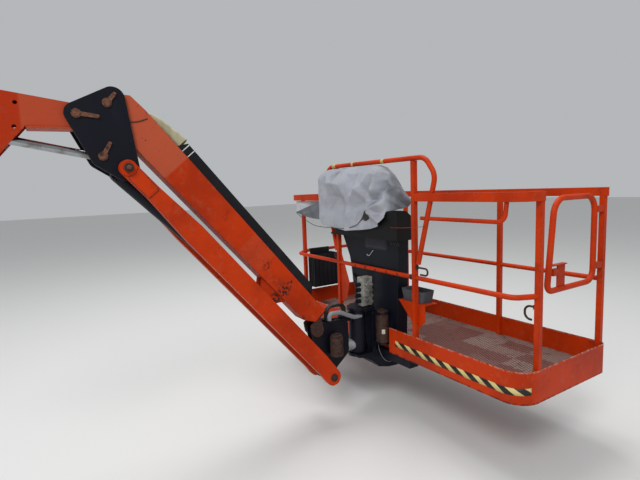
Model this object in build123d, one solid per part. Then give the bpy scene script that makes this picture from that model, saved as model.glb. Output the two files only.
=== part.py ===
from build123d import *
import math
import os

os.makedirs("parts", exist_ok=True)

# The jib and work platform of a telescopic boom lift, with the end of its boom.
# X runs outwards from the boom to the platform, Z up, Y to the left when looking out.
# All sizes are in millimetres and degrees.
# The origin is the middle of the closing plate at the back of the boom end.

# Clearances
pin_gap = 0.3          # radial, between a pin and its hole
seat_gap = 0.3         # between pieces that rest on each other
side_gap = 6           # between pieces that swing past each other

# Boom end: a box tube that slopes down towards a narrow head
boom_tilt = 8
tube_length = 400
tube_depth = 340
tube_width = 200
tube_wall = 8
closing_plate = 12
head_width = 112
head_wall = 10
head_start = 360
mouth_bottom = 500     # where the slanted mouth leaves the underside
mouth_top = 628        # where it meets the head's own underside
head_bottom = 30       # height of the head's underside over the tube's middle
head_nose_radius = 48
head_cavity_end = 735
nose_holes = ((596, 45), (583, -62))
nose_hole_radius = 9

# Pins of the levelling knuckle, seen from the side as (X, Z)
level_pivot = (834, 6)
arm_pivot = (972, 63)
level_eye = (934, -195)
link_offset = (65, -318)      # from each upper pin to the lower pin under it
pin_radius = 16

# Knuckle plates
plate_thick = 12
top_lobe = (1000, 85)
lobe_radii = {"level": 52, "top": 58, "eye": 57, "link": 64}
spreader_at = (950, -70)
spreader_radius = 25

# Jib arms
arm_length = 1825
arm_droop = 50                # rest angle below the horizontal
upper_width = 120
upper_top = 125
upper_bottom = -20
upper_wall = 6
upper_head_radius = 52
upper_head_start = 37
upper_head_rise = 116
upper_end_back = 65           # the tube stops this far short of the end pin
end_cut = (140, 26)           # its lower corner is cut off this far back and this far above the pin line
lower_width = 45
lower_top = 65
lower_bottom = -50
lower_wall = 5
lower_head_radius = 40
lower_end_radius = 55
lower_taper = (170, 470)      # where the lower arm's head meets its full depth
drain_radius = 6

# Cylinders
level_base = (101, -25)
level_barrel_length = 450
level_barrel_radius = 38
level_rod_radius = 20
level_rod_length = 505
level_eye_radius = 35
level_eye_width = 50
jib_base = (1000, -285)
jib_lug_place = (1380, -120)  # along and above the upper arm's pin line
jib_barrel_length = 920
jib_barrel_radius = 36
jib_rod_radius = 20
jib_rod_length = 880
jib_eye_radius = 30
jib_eye_width = 40
jib_lug_thick = 12
jib_lug_length = 240

# Jib end bracket and rotator
bracket_thick = 14
bracket_inner = 20
bracket_radius = 42
bracket_reach = 217           # from the arm's end pin to the bracket's front corners
bracket_high = -10            # those corners' heights from the same pin
bracket_low = -191
bracket_arm_half = 30
bracket_arm_depth = 48
bracket_arm_drop = 12
rotator_radius = 60
rotator_reach = 362           # from the arm's end pin to the turning axis
rotator_to_side = 140         # from the turning axis to the platform's near side
rotator_rise = 69             # the rotator's top and bottom from the same pin
rotator_fall = 231
rotator_foot_radius = 40
output_plate = 20
output_gap = 6

# Platform
platform_length = 2440
platform_width = 820
deck_fall = 181               # from the arm's end pin down to the deck
rail_height = 1070
rail_depth = 50
rail_width = 40
mid_height = 527
mid_radius = 15
toe_height = 135
toe_drop = 46
toe_thick = 4
deck_thick = 5
near_corner = 130
far_corner = 40
notch_half = 185              # the near toe board is open round the rotator
post_size = 30
middle_post = 430
far_post = 490
beam_height = 40
beam_width = 40
outer_beam = 900              # from the middle to the outer cross bars
long_beam_half = 1000
long_beams_in = (40, 60)      # from the floor frame's near and far sides

guard_height = 1308
guard_radius = 16
guard_half = 612
guard_foot = 620
guard_slant = (85, 128)       # the slanted piece of its top corners, along and down
guard_bend = 95

grab_drop = 155               # under the top of the rail
grab_radius = 12
grab_bend = 48
grab_from_end = 135
gate_bottom = 533             # middle of the gate's bottom bar
gate_top = 1027
gate_in = 30
gate_from = 233               # bottom corner beside the latch
gate_top_from = 290
gate_to = 692
gate_bends = (40, 70, 85, 95)
gate_radius = 16
hinge_heights = (600, 930)
latch_span = (325, 398)
latch_top = 674

# Support, controls and fittings
support_half = 90
support_thick = 26
support_beam = 60
support_reach = 620
foot_outline = ((-60, 70), (-10, 82), (60, 118), (125, 178), (215, 200), (300, 205), (440, 150))
foot_bend = 40
cross_half = 380
cross_from = 8
cross_width = 80
lug_thick = 14
pedestal_corners = ((394, 757), (282, 541), (248, 400), (235, 0.3), (-229, 0.3), (-251, 541), (-255, 757))
pedestal_depth = 92
pedestal_wall = 4
console_low = 770
console_high = 955
console_left = 405
console_right = 320
console_depth = 160
console_overhang = 30         # past the platform's near side
console_slope = 60
console_wall = 4
shelf_thick = 12
shelf_left = 467              # in front of the left middle post
cover_low = 790
cover_side_low = 925          # its right side is tucked up
cover_high = 1268
cover_left = 610
cover_right = 245
cover_depth = 195
cover_loose = 15
cover_flap_low = rail_height - 155
flap_tip = (1090, rail_height - 155)   # loose corner at the left, from the middle and over the deck
flap_under = 10                # its top is this far under the top rail
flap_in = 3
flap_wide = 100
trough_span = (365, 1620)
trough_depth = 58
trough_half = 42
sleeve_radius = 32
valve_back = 10               # from the turning axis to the block's back
valve_length = 88
valve_side = -60
valve_width = 56
valve_low = 283
valve_high = 488
fitting_radius = 9
fitting_rows = (318, 358, 398, 438)
tray_height = 350
tray_side = (-478, -262)
tray_depth = 120
tray_wall = 4
box_span = (168, 430)         # along the left end, from the near side
box_depth = 110
box_height = 315
box_drop = 30                 # its rim under the middle rail
box_ribs = 6
sheet_thick = 3
boss_radius = 45
end_boss_along = 127          # from the arm's end pin
end_boss_span = (-190, -62)
side_boss = (127, -130)       # from the turning axis
side_boss_span = (26, 240)    # over the deck
hook_radius = 6
hose_radius = 10
hose_sides = (-20, 4)
hose_rise = 74
hose_bend = 40
hose_span = (95, 240)         # from the arm's end pin
sleeved_radius = 15
sleeved_side = -48

turn = math.radians(arm_droop)
upper_end = (arm_pivot[0] + arm_length * math.cos(turn), arm_pivot[1] - arm_length * math.sin(turn))
bracket_front = upper_end[0] + bracket_reach
axis_x = upper_end[0] + rotator_reach
rotator_top = upper_end[1] + rotator_rise
rotator_bottom = upper_end[1] - rotator_fall
near_side = axis_x + rotator_to_side
deck_height = upper_end[1] - deck_fall
post_inset = toe_thick + seat_gap + post_size / 2
near_post_x = near_side + post_inset
far_post_x = near_side + platform_width - post_inset
end_post_y = platform_length / 2 - post_inset
end_post_back = near_corner + post_size / 2


def point(origin, angle, along, above):
    """Place at a distance along and above a line that starts at origin at an angle."""
    turn = math.radians(angle)
    return (origin[0] + along * math.cos(turn) - above * math.sin(turn),
            origin[1] + along * math.sin(turn) + above * math.cos(turn))


def side(shape, low, high):
    """Prism of a flat shape drawn in X and Z, between two Y values."""
    return extrude(Plane.XZ.offset(-high) * shape, amount=high - low, dir=(0, -1, 0))


def disc(center, radius, low, high):
    """Round piece along Y."""
    return side(Pos(*center) * Circle(radius), low, high)


def upright_disc(x, y, radius, low, high):
    """Round piece along Z."""
    return Pos(x, y, (low + high) / 2) * Cylinder(radius, high - low)


def wrap(circles, corners=()):
    """Flat outline pulled tight round circles and corner points."""
    edges = []
    for center, radius in circles:
        edges += (Pos(*center) * Circle(radius)).edges()
    if corners:
        edges += Polyline(*corners, close=True).edges()
    return make_hull(edges)


def both(solid):
    """A piece and its mirror image across the middle plane."""
    return solid + mirror(solid, about=Plane.XZ)


def block(low, high):
    """Box between two corners."""
    size = [b - a for a, b in zip(low, high)]
    return Pos(*[(a + b) / 2 for a, b in zip(low, high)]) * Box(*size)


def rod_between(start, end, radius):
    """Round bar from one point to another in the middle plane."""
    a, b = Vector(start[0], 0, start[1]), Vector(end[0], 0, end[1])
    plane = Plane(origin=a, z_dir=b - a)
    return extrude(plane * Circle(radius), amount=(b - a).length)


def bent_tube(points, radii, radius):
    """Round tube along straight runs with bends."""
    path = FilletPolyline(*points, radius=radii)
    start = path @ 0
    plane = Plane(origin=start, z_dir=path % 0)
    return sweep(plane * Circle(radius), path=path)


def save(shape, name):
    export_step(shape, f"parts/{name}.step")


boom = lambda along, above: point((0, 0), -boom_tilt, along, above)
upper = lambda along, above: point(arm_pivot, -arm_droop, along, above)
link_pivot = (arm_pivot[0] + link_offset[0], arm_pivot[1] + link_offset[1])
lower = lambda along, above: point(link_pivot, -arm_droop, along, above)
lower_end = lower(arm_length, 0)

plate_low = upper_width / 2 + side_gap
plate_high = plate_low + plate_thick
link_low = plate_high + side_gap
link_high = link_low + lower_width


def boom_nose():
    half, top = tube_width / 2, tube_depth / 2
    outline = Polygon(boom(0, -top), boom(tube_length, -top), boom(tube_length, top), boom(0, top), align=None)
    inside = Polygon(boom(closing_plate, -top + tube_wall), boom(tube_length - closing_plate, -top + tube_wall),
                     boom(tube_length - closing_plate, top - tube_wall), boom(closing_plate, top - tube_wall),
                     align=None)
    tube = side(outline, -half, half) - side(inside, -half + tube_wall, half - tube_wall)
    pivot_along = level_pivot[0] * math.cos(math.radians(boom_tilt)) - level_pivot[1] * math.sin(
        math.radians(boom_tilt))
    cheek = Polygon(boom(head_start, -top), boom(mouth_bottom, -top), boom(mouth_top, head_bottom),
                    boom(pivot_along, head_bottom + 30), boom(pivot_along, top), boom(head_start, top), align=None)
    head = side(cheek, -head_width / 2, head_width / 2)
    head += disc(level_pivot, head_nose_radius, -head_width / 2, head_width / 2)
    hollow = Polygon(boom(closing_plate, top - head_wall), boom(head_cavity_end, top - head_wall),
                     boom(head_cavity_end, head_bottom + 26), boom(mouth_top + 8, head_bottom + 12),
                     boom(mouth_top + 28, -30), boom(mouth_bottom + 20, -top + tube_wall),
                     boom(closing_plate, -top + tube_wall), align=None)
    body = tube + head - side(hollow, -head_width / 2 + head_wall, head_width / 2 - head_wall)
    lip = Polygon(boom(mouth_top, head_bottom), boom(pivot_along, head_bottom + 30),
                  boom(pivot_along, head_bottom + 20), boom(mouth_top + 4, head_bottom - 10), align=None)
    body += side(lip, -head_width / 2 - 4, head_width / 2 + 4)
    body -= disc(level_pivot, pin_radius + pin_gap, -half, half)
    for hole in nose_holes:
        body -= disc(hole, nose_hole_radius, -half, half)
    return body + disc(level_base, pin_radius, -half + 1, half - 1)


def knuckle():
    outline = wrap([(level_pivot, lobe_radii["level"]), (top_lobe, lobe_radii["top"]),
                    (level_eye, lobe_radii["eye"]), (link_pivot, lobe_radii["link"])])
    plate = side(outline, plate_low, plate_high)
    for center in (level_pivot, arm_pivot, level_eye, link_pivot):
        plate -= disc(center, pin_radius + pin_gap, plate_low - 1, plate_high + 1)
    body = both(plate)
    body += disc(spreader_at, spreader_radius, -plate_low - 1, plate_low + 1)
    return body + disc(jib_base, pin_radius, -plate_low - 1, plate_low + 1)


def keeper(center, toward, length):
    """Flat strip that stops a pin from turning, with its screw."""
    angle = math.degrees(math.atan2(toward[1] - center[1], toward[0] - center[0]))
    end = point(center, angle, length, 0)
    strip = side(wrap([(center, 11), (end, 9)]), plate_high + seat_gap, plate_high + 8)
    return strip + disc(end, 6, plate_high + 7, plate_high + 14)


def knuckle_pins():
    pins = Part()
    head_high = plate_high + 5
    # (pin, place that its keeper points to, keeper's length, pin goes right through)
    for center, toward, length, through in ((level_pivot, (928, -5), 92, True), (arm_pivot, (1008, 106), 58, True),
                                            (level_eye, (970, -132), 72, False)):
        inner = 0 if through else level_eye_width / 2 + side_gap + 2
        half = disc(center, pin_radius, inner, head_high + 8)
        half += disc(center, pin_radius + 6, plate_high + seat_gap, head_high + 3)
        half += keeper(center, toward, length)
        pins += both(half)
    return pins


def link_pins():
    half = disc(link_pivot, pin_radius, plate_low, link_high + 10)
    for radius, low, high in ((40, seat_gap, 7), (24, 6, 13), (9, 12, 24)):
        half += disc(link_pivot, radius, link_high + low, link_high + high)
    return both(half)


def upper_arm():
    end = arm_length - upper_end_back
    outline = wrap([(arm_pivot, upper_head_radius)],
                   [upper(upper_head_start, upper_head_rise), upper(130, upper_top), upper(end, upper_top),
                    upper(end, upper_bottom)])
    body = side(outline, -upper_width / 2, upper_width / 2)
    inside = Polygon(upper(150, upper_top - upper_wall), upper(end + 5, upper_top - upper_wall),
                     upper(end + 5, upper_bottom + upper_wall), upper(150, upper_bottom + upper_wall - 20),
                     align=None)
    body -= side(inside, -upper_width / 2 + upper_wall, upper_width / 2 - upper_wall)
    body -= disc(arm_pivot, pin_radius + pin_gap, -upper_width, upper_width)
    body -= end_clearance()
    lug_along, lug_above = jib_lug_place
    half = jib_lug_length / 2
    lug = wrap([(upper(lug_along, lug_above), jib_eye_radius)],
               [upper(lug_along - half, upper_bottom), upper(lug_along + half, upper_bottom)])
    low = jib_eye_width / 2 + side_gap + 2
    body += both(side(lug, low, low + jib_lug_thick))
    return body + both(disc(upper(lug_along, lug_above), pin_radius, low, low + jib_lug_thick + 8))


def end_clearance():
    """Corner that is cut off under the arm's end, where the end bracket swings up."""
    back, rise = end_cut
    slope = (rise - upper_bottom) / (back - upper_end_back)
    outline = Polygon(upper(arm_length - back, upper_bottom), upper(arm_length - upper_end_back, rise),
                      upper(arm_length - upper_end_back + 40, rise + 40 * slope),
                      upper(arm_length, upper_bottom - 30), upper(arm_length - back, upper_bottom - 30), align=None)
    return side(outline, -upper_width, upper_width)


def upper_arm_end():
    end = arm_length - upper_end_back
    top, bottom = upper_top - upper_wall - seat_gap, upper_bottom + upper_wall + seat_gap
    plug = Polygon(upper(end - 60, bottom), upper(end + 12, bottom), upper(end + 12, top), upper(end - 60, top),
                   align=None)
    half = upper_width / 2 - upper_wall - seat_gap
    body = side(plug, -half, half) - end_clearance()
    ear = wrap([(upper_end, 44)], [upper(end + seat_gap, bottom), upper(end + seat_gap, 82)])
    body += both(side(ear, half - 15, half))
    return body - disc(upper_end, pin_radius + pin_gap, -half - 1, half + 1)


def lower_arm():
    start, full = lower_taper
    head = wrap([(link_pivot, lower_head_radius)], [lower(start, 44), lower(start, -36)])
    middle = Polygon(lower(start, -36), lower(full, lower_bottom), lower(arm_length - 60, lower_bottom),
                     lower(arm_length - 60, lower_top - 5), lower(arm_length - 160, lower_top), lower(full, lower_top),
                     lower(start, 44), align=None)
    foot = wrap([(lower_end, lower_end_radius)],
                [lower(arm_length - 60, lower_bottom), lower(arm_length - 60, lower_top - 5)])
    body = side(head + middle + foot, link_low, link_high)
    inside = Polygon(lower(full, lower_bottom + lower_wall), lower(arm_length - 90, lower_bottom + lower_wall),
                     lower(arm_length - 90, lower_top - lower_wall - 5), lower(full, lower_top - lower_wall),
                     align=None)
    body -= side(inside, link_low + lower_wall, link_high - lower_wall)
    body -= disc(lower(full + 40, 0), drain_radius, link_low - 1, link_low + lower_wall + 1)
    for center in (link_pivot, lower_end):
        body -= disc(center, pin_radius + pin_gap, link_low - 1, link_high + 1)
    return body


def cylinder_barrel(base, eye, length, radius, rod_radius, width):
    angle = math.degrees(math.atan2(eye[1] - base[1], eye[0] - base[0]))
    body = rod_between(base, point(base, angle, length, 0), radius)
    body += rod_between(point(base, angle, length - 40, 0), point(base, angle, length + 12, 0), radius + 4)
    body += disc(base, radius - 4, -width / 2, width / 2)
    bore = rod_between(point(base, angle, 45, 0), point(base, angle, length + 20, 0), rod_radius + pin_gap)
    return body - bore - disc(base, pin_radius + pin_gap, -width, width)


def cylinder_rod(base, eye, length, radius, eye_radius, width):
    angle = math.degrees(math.atan2(eye[1] - base[1], eye[0] - base[0]))
    body = rod_between(point(eye, angle, -length, 0), point(eye, angle, -eye_radius + 4, 0), radius)
    body += disc(eye, eye_radius, -width / 2, width / 2)
    return body - disc(eye, pin_radius + pin_gap, -width, width)


def end_bracket():
    front, high, low = bracket_front, upper_end[1] + bracket_high, upper_end[1] + bracket_low
    outline = wrap([(upper_end, bracket_radius), (lower_end, bracket_radius), ((front, high), bracket_radius),
                    ((front, low), bracket_radius)])
    body = both(side(outline, bracket_inner, bracket_inner + bracket_thick))
    web = block((front - 50, -bracket_inner - 1, low - 40), (front + 30, bracket_inner + 1, high + 40))
    body += web
    outside = bracket_inner + bracket_thick + 1
    for center in (upper_end, lower_end):
        body -= disc(center, pin_radius + pin_gap, -outside, outside)
    return body + bracket_arm(0)


def bracket_arm(gap):
    """Short arm from the end bracket into the side of the rotator."""
    high = rotator_top - bracket_arm_drop
    return block((bracket_front, -bracket_arm_half - gap, high - bracket_arm_depth - gap),
                 (axis_x - rotator_radius + 8 + gap, bracket_arm_half + gap, high + gap))


def end_pins():
    half_upper = upper_width / 2 - upper_wall
    pins = disc(upper_end, pin_radius, -half_upper, half_upper)
    pins += disc(lower_end, pin_radius, -link_high - 10, link_high + 10)
    pins += both(disc(lower_end, 26, link_high + seat_gap, link_high + 7))
    return pins


def rotator_housing_body(gap=0):
    return upright_disc(axis_x, 0, rotator_radius + gap, rotator_bottom, rotator_top)


def rotator_housing():
    return rotator_housing_body() - bracket_arm(seat_gap)


def rotator_foot():
    start = bracket_front + bracket_radius + seat_gap
    plane = Plane(origin=(start, 0, deck_height + 5), z_dir=(1, 0, 0))
    body = extrude(plane * Circle(rotator_foot_radius), amount=axis_x - rotator_radius / 2 - start)
    return body - Pos(axis_x, 0, deck_height) * Cylinder(rotator_radius + seat_gap, 400)


def floor_outline(inset, height, low):
    """Plan of the platform, moved in by an amount, as a solid between two heights."""
    x0, x1 = near_side + inset, near_side + platform_width - inset
    y = platform_length / 2 - inset
    plan = Polygon((x0, -y), (x1, -y), (x1, y), (x0, y), align=None)
    plan = fillet(plan.vertices().sort_by(Axis.X)[:2], near_corner - inset)
    plan = fillet(plan.vertices().sort_by(Axis.X)[-2:], max(far_corner - inset, 5))
    return extrude(Plane.XY.offset(low) * plan, amount=height, dir=(0, 0, 1))


def ring(inset, thick, low, high):
    return floor_outline(inset, high - low, low) - floor_outline(inset + thick, high - low + 2, low - 1)


def toe_boards():
    body = ring(0, toe_thick, deck_height - toe_drop, deck_height + toe_height)
    return body - block((near_side - 1, -notch_half, deck_height - 100),
                        (near_side + near_corner / 2, notch_half, deck_height + 200))


def deck():
    return floor_outline(toe_thick + seat_gap, deck_thick, deck_height - deck_thick)


def floor_beams():
    x0, x1 = near_side + toe_thick + seat_gap, near_side + platform_width - toe_thick - seat_gap
    low, high = deck_height - deck_thick - beam_height, deck_height - deck_thick - seat_gap
    body = Part()
    for y in (-outer_beam, -middle_post, middle_post, outer_beam):
        body += block((x0, y - beam_width / 2, low), (x1, y + beam_width / 2, high))
    for x in (x0 + long_beams_in[0], x1 - long_beams_in[1]):
        body += block((x, -long_beam_half, low), (x + beam_width, long_beam_half, high))
    return body


def posts(gap=0):
    # Square posts: two near middle ones up to the guard, the rest up to the top rail.
    top = deck_height + rail_height - rail_depth - seat_gap
    guard_top = deck_height + guard_height - 2 * guard_radius - seat_gap
    half = post_size / 2 + gap
    body = Part()
    for x, y, height in ((near_post_x, middle_post, guard_top), (far_post_x, far_post, top),
                         (near_side + end_post_back, end_post_y, top), (far_post_x - 10, end_post_y - 12, top)):
        for sign in (-1, 1):
            body += block((x - half, sign * y - half, deck_height + seat_gap - gap),
                          (x + half, sign * y + half, height + gap))
    return body


def top_rail():
    high = deck_height + rail_height
    body = ring(0, rail_width, high - rail_depth, high)
    body -= block((near_side - 1, -middle_post - post_size / 2 - 1, high - 100),
                  (near_side + near_corner, middle_post + post_size / 2 + 1, high + 100))
    body -= block((near_side + end_post_back + post_size / 2, -platform_length / 2 - 1, high - 100),
                  (far_post_x - 10 - post_size / 2, -platform_length / 2 + near_corner, high + 100))
    return body - guard(seat_gap)


def rail_tube(gap):
    # Round tube along the near side, round the left end and back along the far side.
    high = deck_height + mid_height
    near_x, far_x, end_y = near_post_x, far_post_x, end_post_y
    return bent_tube([(near_side + end_post_back, -end_y, high), (near_x, -end_y + 60, high),
                      (near_x, end_y - 120, high), (near_x + 120, end_y, high),
                      (far_x, end_y, high), (far_x, -end_y + 20, high)],
                     [60, 80, 80, 30], mid_radius + gap)


def mid_rail():
    return rail_tube(0) - posts(seat_gap)


def guard(gap=0):
    # Hoop over the control box, wider at the top than the posts that carry it.
    high = deck_height + guard_height
    x = near_post_x
    foot_y, foot_z = middle_post + post_size / 2 + guard_radius + seat_gap, deck_height + guard_foot
    in_top, down = guard_slant
    half, top = guard_half - in_top, high - guard_radius
    return bent_tube([(x, -foot_y, foot_z), (x, -guard_half, high - down), (x, -half, top), (x, half, top),
                      (x, guard_half, high - down), (x, foot_y, foot_z)],
                     [guard_bend] * 4, guard_radius + gap)


def grab_rail():
    x = near_post_x
    high = deck_height + rail_height - grab_drop
    start, end = -middle_post - 60, -platform_length / 2 + grab_from_end
    top = deck_height + rail_height - rail_depth + grab_radius
    tube = bent_tube([(x, start, high), (x, end, high), (x, end - 12, top)], [grab_bend], grab_radius)
    return tube - guard(seat_gap) - ring(-1, rail_width + 10, top - grab_radius - seat_gap, top + 100)


def gate():
    # Round-cornered loop of tube, its upright on the latch side leaning outwards.
    low, high = deck_height + gate_bottom, deck_height + gate_top
    corners = [(near_side + gate_from, low), (near_side + gate_to, low), (near_side + gate_to, high),
               (near_side + gate_top_from, high)]
    outline = Polygon(*corners, align=None)
    for corner, bend in zip(corners, gate_bends):
        nearest = min(outline.vertices(), key=lambda v: math.dist(corner, (v.X, v.Y)))
        outline = fillet(nearest, bend)
    path = (Plane.XZ.offset(platform_length / 2 - gate_in) * outline).face().outer_wire()
    return sweep(Plane(origin=path @ 0, z_dir=path % 0) * Circle(gate_radius), path=path)


def gate_latch():
    # Upright plate on the bottom bar, a strip back to the latch side and the latch on it.
    y = -platform_length / 2 + gate_in
    x0, x1 = near_side + latch_span[0], near_side + latch_span[1]
    low, high = deck_height + gate_bottom + gate_radius + seat_gap, deck_height + latch_top
    body = block((x0, y - 3, low), (x1, y + 3, high))
    body += block((near_side + gate_from + 35, y - 14, high - 6), (x1, y + 14, high))
    return body + block((near_side + gate_from + 42, y - 12, high - 60), (x0 + 1, y + 12, high - 24))


def gate_hinges():
    y = -platform_length / 2 + gate_in
    x = near_side + gate_to + gate_radius + seat_gap
    far = near_side + platform_width - toe_thick - seat_gap - post_size - 10
    body = Part()
    for z in hinge_heights:
        body += block((x, y - 12, deck_height + z), (far - seat_gap, y + 12, deck_height + z + 36))
    return body


def platform_support():
    # Plates over and under the rotator, an upright, a curved foot under the floor and a cross beam.
    top = rotator_top + output_gap
    low = rotator_bottom - output_gap - output_plate
    body = Pos(axis_x, 0, top + output_plate / 2) * Cylinder(rotator_radius + 12, output_plate)
    body += Pos(axis_x, 0, low + output_plate / 2) * Cylinder(rotator_radius + 12, output_plate)
    for start, end in ((rotator_top + seat_gap, top + 1), (low + output_plate - 1, rotator_bottom - seat_gap)):
        body += Pos(axis_x, 0, (start + end) / 2) * Cylinder(rotator_radius - 20, end - start)
    upright = axis_x + rotator_radius + side_gap + 4
    body += block((axis_x, -support_half, top), (upright + 20, support_half, top + output_plate))
    body += block((upright, -support_half, low), (upright + support_thick, support_half, top + output_plate))
    beam_high = deck_height - deck_thick - beam_height - seat_gap
    foot = Polygon(*[(axis_x + along, deck_height - down) for along, down in foot_outline],
                   (near_side + support_reach, beam_high - support_beam), (near_side + support_reach, beam_high),
                   (upright, beam_high), (upright, low + output_plate), (axis_x - 60, low + output_plate), align=None)
    foot = fillet(foot.vertices().sort_by(Axis.Y)[:2], foot_bend)
    body += side(foot, -support_half, support_half)
    body -= Pos(axis_x, 0, low + output_plate + 50) * Cylinder(rotator_radius + side_gap, 100 - 2 * seat_gap)
    x0 = near_side + cross_from
    body += block((x0, -cross_half, beam_high - support_beam), (x0 + cross_width, cross_half, beam_high))
    for height in side_boss_span:
        z = deck_height + height
        lug = Pos(axis_x + side_boss[0], side_boss[1]) * Circle(boss_radius)
        lug += Pos(axis_x + side_boss[0] - boss_radius / 2 - 6, side_boss[1] / 2 - 40) * Rectangle(50, 100)
        body += extrude(Plane.XY.offset(z - lug_thick - seat_gap) * lug, amount=lug_thick, dir=(0, 0, 1))
    return body


def pivot_boss():
    # Rusty round boss beside the upright, between two lugs, with a cap and a bolt.
    low, high = side_boss_span
    x, y = axis_x + side_boss[0], side_boss[1]
    return (upright_disc(x, y, boss_radius, deck_height + low, deck_height + high - lug_thick - 2 * seat_gap)
            + upright_disc(x, y, boss_radius - 8, deck_height + high, deck_height + high + 8)
            + upright_disc(x, y, 14, deck_height + high + 7, deck_height + high + 20))


def bracket_boss():
    # The same kind of boss on the side of the end bracket.
    low, high = (upper_end[1] + height for height in end_boss_span)
    x, y = upper_end[0] + end_boss_along, -(bracket_inner + bracket_thick + seat_gap + boss_radius)
    body = upright_disc(x, y, boss_radius, low, high) + upright_disc(x, y, boss_radius - 7, high - 1, high + 14)
    return body + upright_disc(x, y, 12, high + 13, high + 24)


def pedestal_outline(inset):
    """Front of the console's pedestal, moved in by an amount."""
    face = Polygon(*[(y, deck_height + z) for y, z in pedestal_corners], align=None)
    return offset(face, amount=-inset, kind=Kind.INTERSECTION) if inset else face


def console_post():
    # Folded plate housing on the deck, behind the middle rail, open towards the platform.
    plane = Plane.YZ.offset(near_post_x + mid_radius + seat_gap)
    body = extrude(plane * pedestal_outline(0), amount=pedestal_depth, dir=(1, 0, 0))
    return body - extrude(plane.offset(pedestal_wall) * pedestal_outline(pedestal_wall), amount=pedestal_depth,
                          dir=(1, 0, 0))


def console(gap=0):
    # Control box with a hollow under it, on a shelf that passes the left middle post in front.
    x0, x1 = near_side - console_overhang - gap, near_side - console_overhang + console_depth + gap
    low, high = deck_height + console_low - gap, deck_height + console_high + gap
    outline = Polygon((x0, low), (x1, low), (x1, high - console_slope), (x0 + console_depth / 2, high),
                      (x0, high), align=None)
    body = side(outline, -console_right - gap, console_left + gap)
    if gap:
        return body
    wall = console_wall
    body -= block((x0 + wall, -console_right + wall, low - 1),
                  (x1 - wall, console_left - wall, high - console_slope - wall))
    shelf = low - shelf_thick
    body += block((x0, -console_right, shelf), (x1, console_left, low + 1))
    return body + block((x0, console_left - 1, shelf), (near_side + toe_thick, shelf_left, low + 1))


def cover():
    # Loose cover over the control box: tucked up at the right, with a loose corner at the left.
    x0 = near_side - console_overhang - cover_loose
    x1 = x0 + cover_depth
    low, high = deck_height + cover_low, deck_height + cover_high
    outline = Polygon((x0, low), (x1, low), (x1 - 20, high - 130), (x0 + 110, high), (x0 + 60, high),
                      (x0 + 20, high - 15), (x0, high - 70), align=None)
    body = side(outline, -cover_right, cover_left)
    body -= block((x0 - 1, console_left + cover_loose, low - 1),
                  (x1 + 1, cover_left + 1, deck_height + cover_flap_low))
    body -= block((x0 - 1, -cover_right - 1, low - 1), (x1 + 1, 60 - cover_right, deck_height + cover_side_low))
    tip_y, tip_z = flap_tip
    flap_top = deck_height + rail_height - rail_depth - flap_under
    flap = Polygon((cover_left - 1, deck_height + cover_flap_low - 25), (cover_left - 1, flap_top),
                   (tip_y, deck_height + tip_z + 14), (tip_y, deck_height + tip_z), align=None)
    body += extrude(Plane.YZ.offset(near_side + flap_in) * flap, amount=flap_wide, dir=(1, 0, 0))
    rail = deck_height + rail_height
    body -= block((near_side - seat_gap, middle_post - 25, rail - rail_depth - seat_gap),
                  (x1 + 1, cover_left + 1, rail + seat_gap))
    return body - console(seat_gap) - guard(seat_gap) - posts(seat_gap)


def hose_trough():
    start, end = trough_span
    low = upper_top + seat_gap
    outline = Polygon(upper(start, low), upper(end, low), upper(end - 50, low + trough_depth),
                      upper(start + 30, low + trough_depth), align=None)
    inside = Polygon(upper(start - 5, low + 3), upper(end + 5, low + 3), upper(end + 5, low + trough_depth - 3),
                     upper(start - 5, low + trough_depth - 3), align=None)
    return side(outline, -trough_half, trough_half) - side(inside, -trough_half + 3, trough_half - 3)


def hose_sleeve():
    # Cloth sleeve round the hoses, from the arm's head to the mouth of the trough.
    above = upper_top + sleeve_radius + seat_gap
    return rod_between(upper(135, above), upper(trough_span[0] - seat_gap, above), sleeve_radius)


def valve_block():
    x0 = axis_x + valve_back
    return block((x0, valve_side, deck_height + valve_low),
                 (x0 + valve_length, valve_side + valve_width, deck_height + valve_high))


def valve_fittings():
    # Hose fittings on the block's side, in two columns, each a hexagon with a round stub.
    body = Part()
    for column in (0.3, 0.72):
        x = axis_x + valve_back + column * valve_length
        for height in fitting_rows:
            plane = Plane(origin=(x, valve_side - seat_gap, deck_height + height), z_dir=(0, -1, 0))
            body += extrude(plane * RegularPolygon(fitting_radius + 3, 6), amount=12)
            body += extrude(plane * Circle(fitting_radius), amount=30)
    return body


def valve_coils():
    # Round solenoids on the block's back.
    body = Part()
    for height in fitting_rows:
        plane = Plane(origin=(axis_x + valve_back - seat_gap, valve_side + valve_width / 2, deck_height + height),
                      z_dir=(-1, 0, 0))
        body += extrude(plane * Circle(15), amount=34)
        body += extrude(plane * Rectangle(14, 14), amount=42)
    return body


def valve_bracket():
    x0 = axis_x + valve_back + valve_length + seat_gap
    low = rotator_top + output_gap
    foot = axis_x + rotator_radius + side_gap + 4 + support_thick + seat_gap
    side_end = valve_side + valve_width
    body = block((x0, valve_side, low), (x0 + 8, side_end, deck_height + valve_high))
    return body + block((foot, valve_side, low), (x0 + 1, side_end, low + output_plate))


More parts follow.
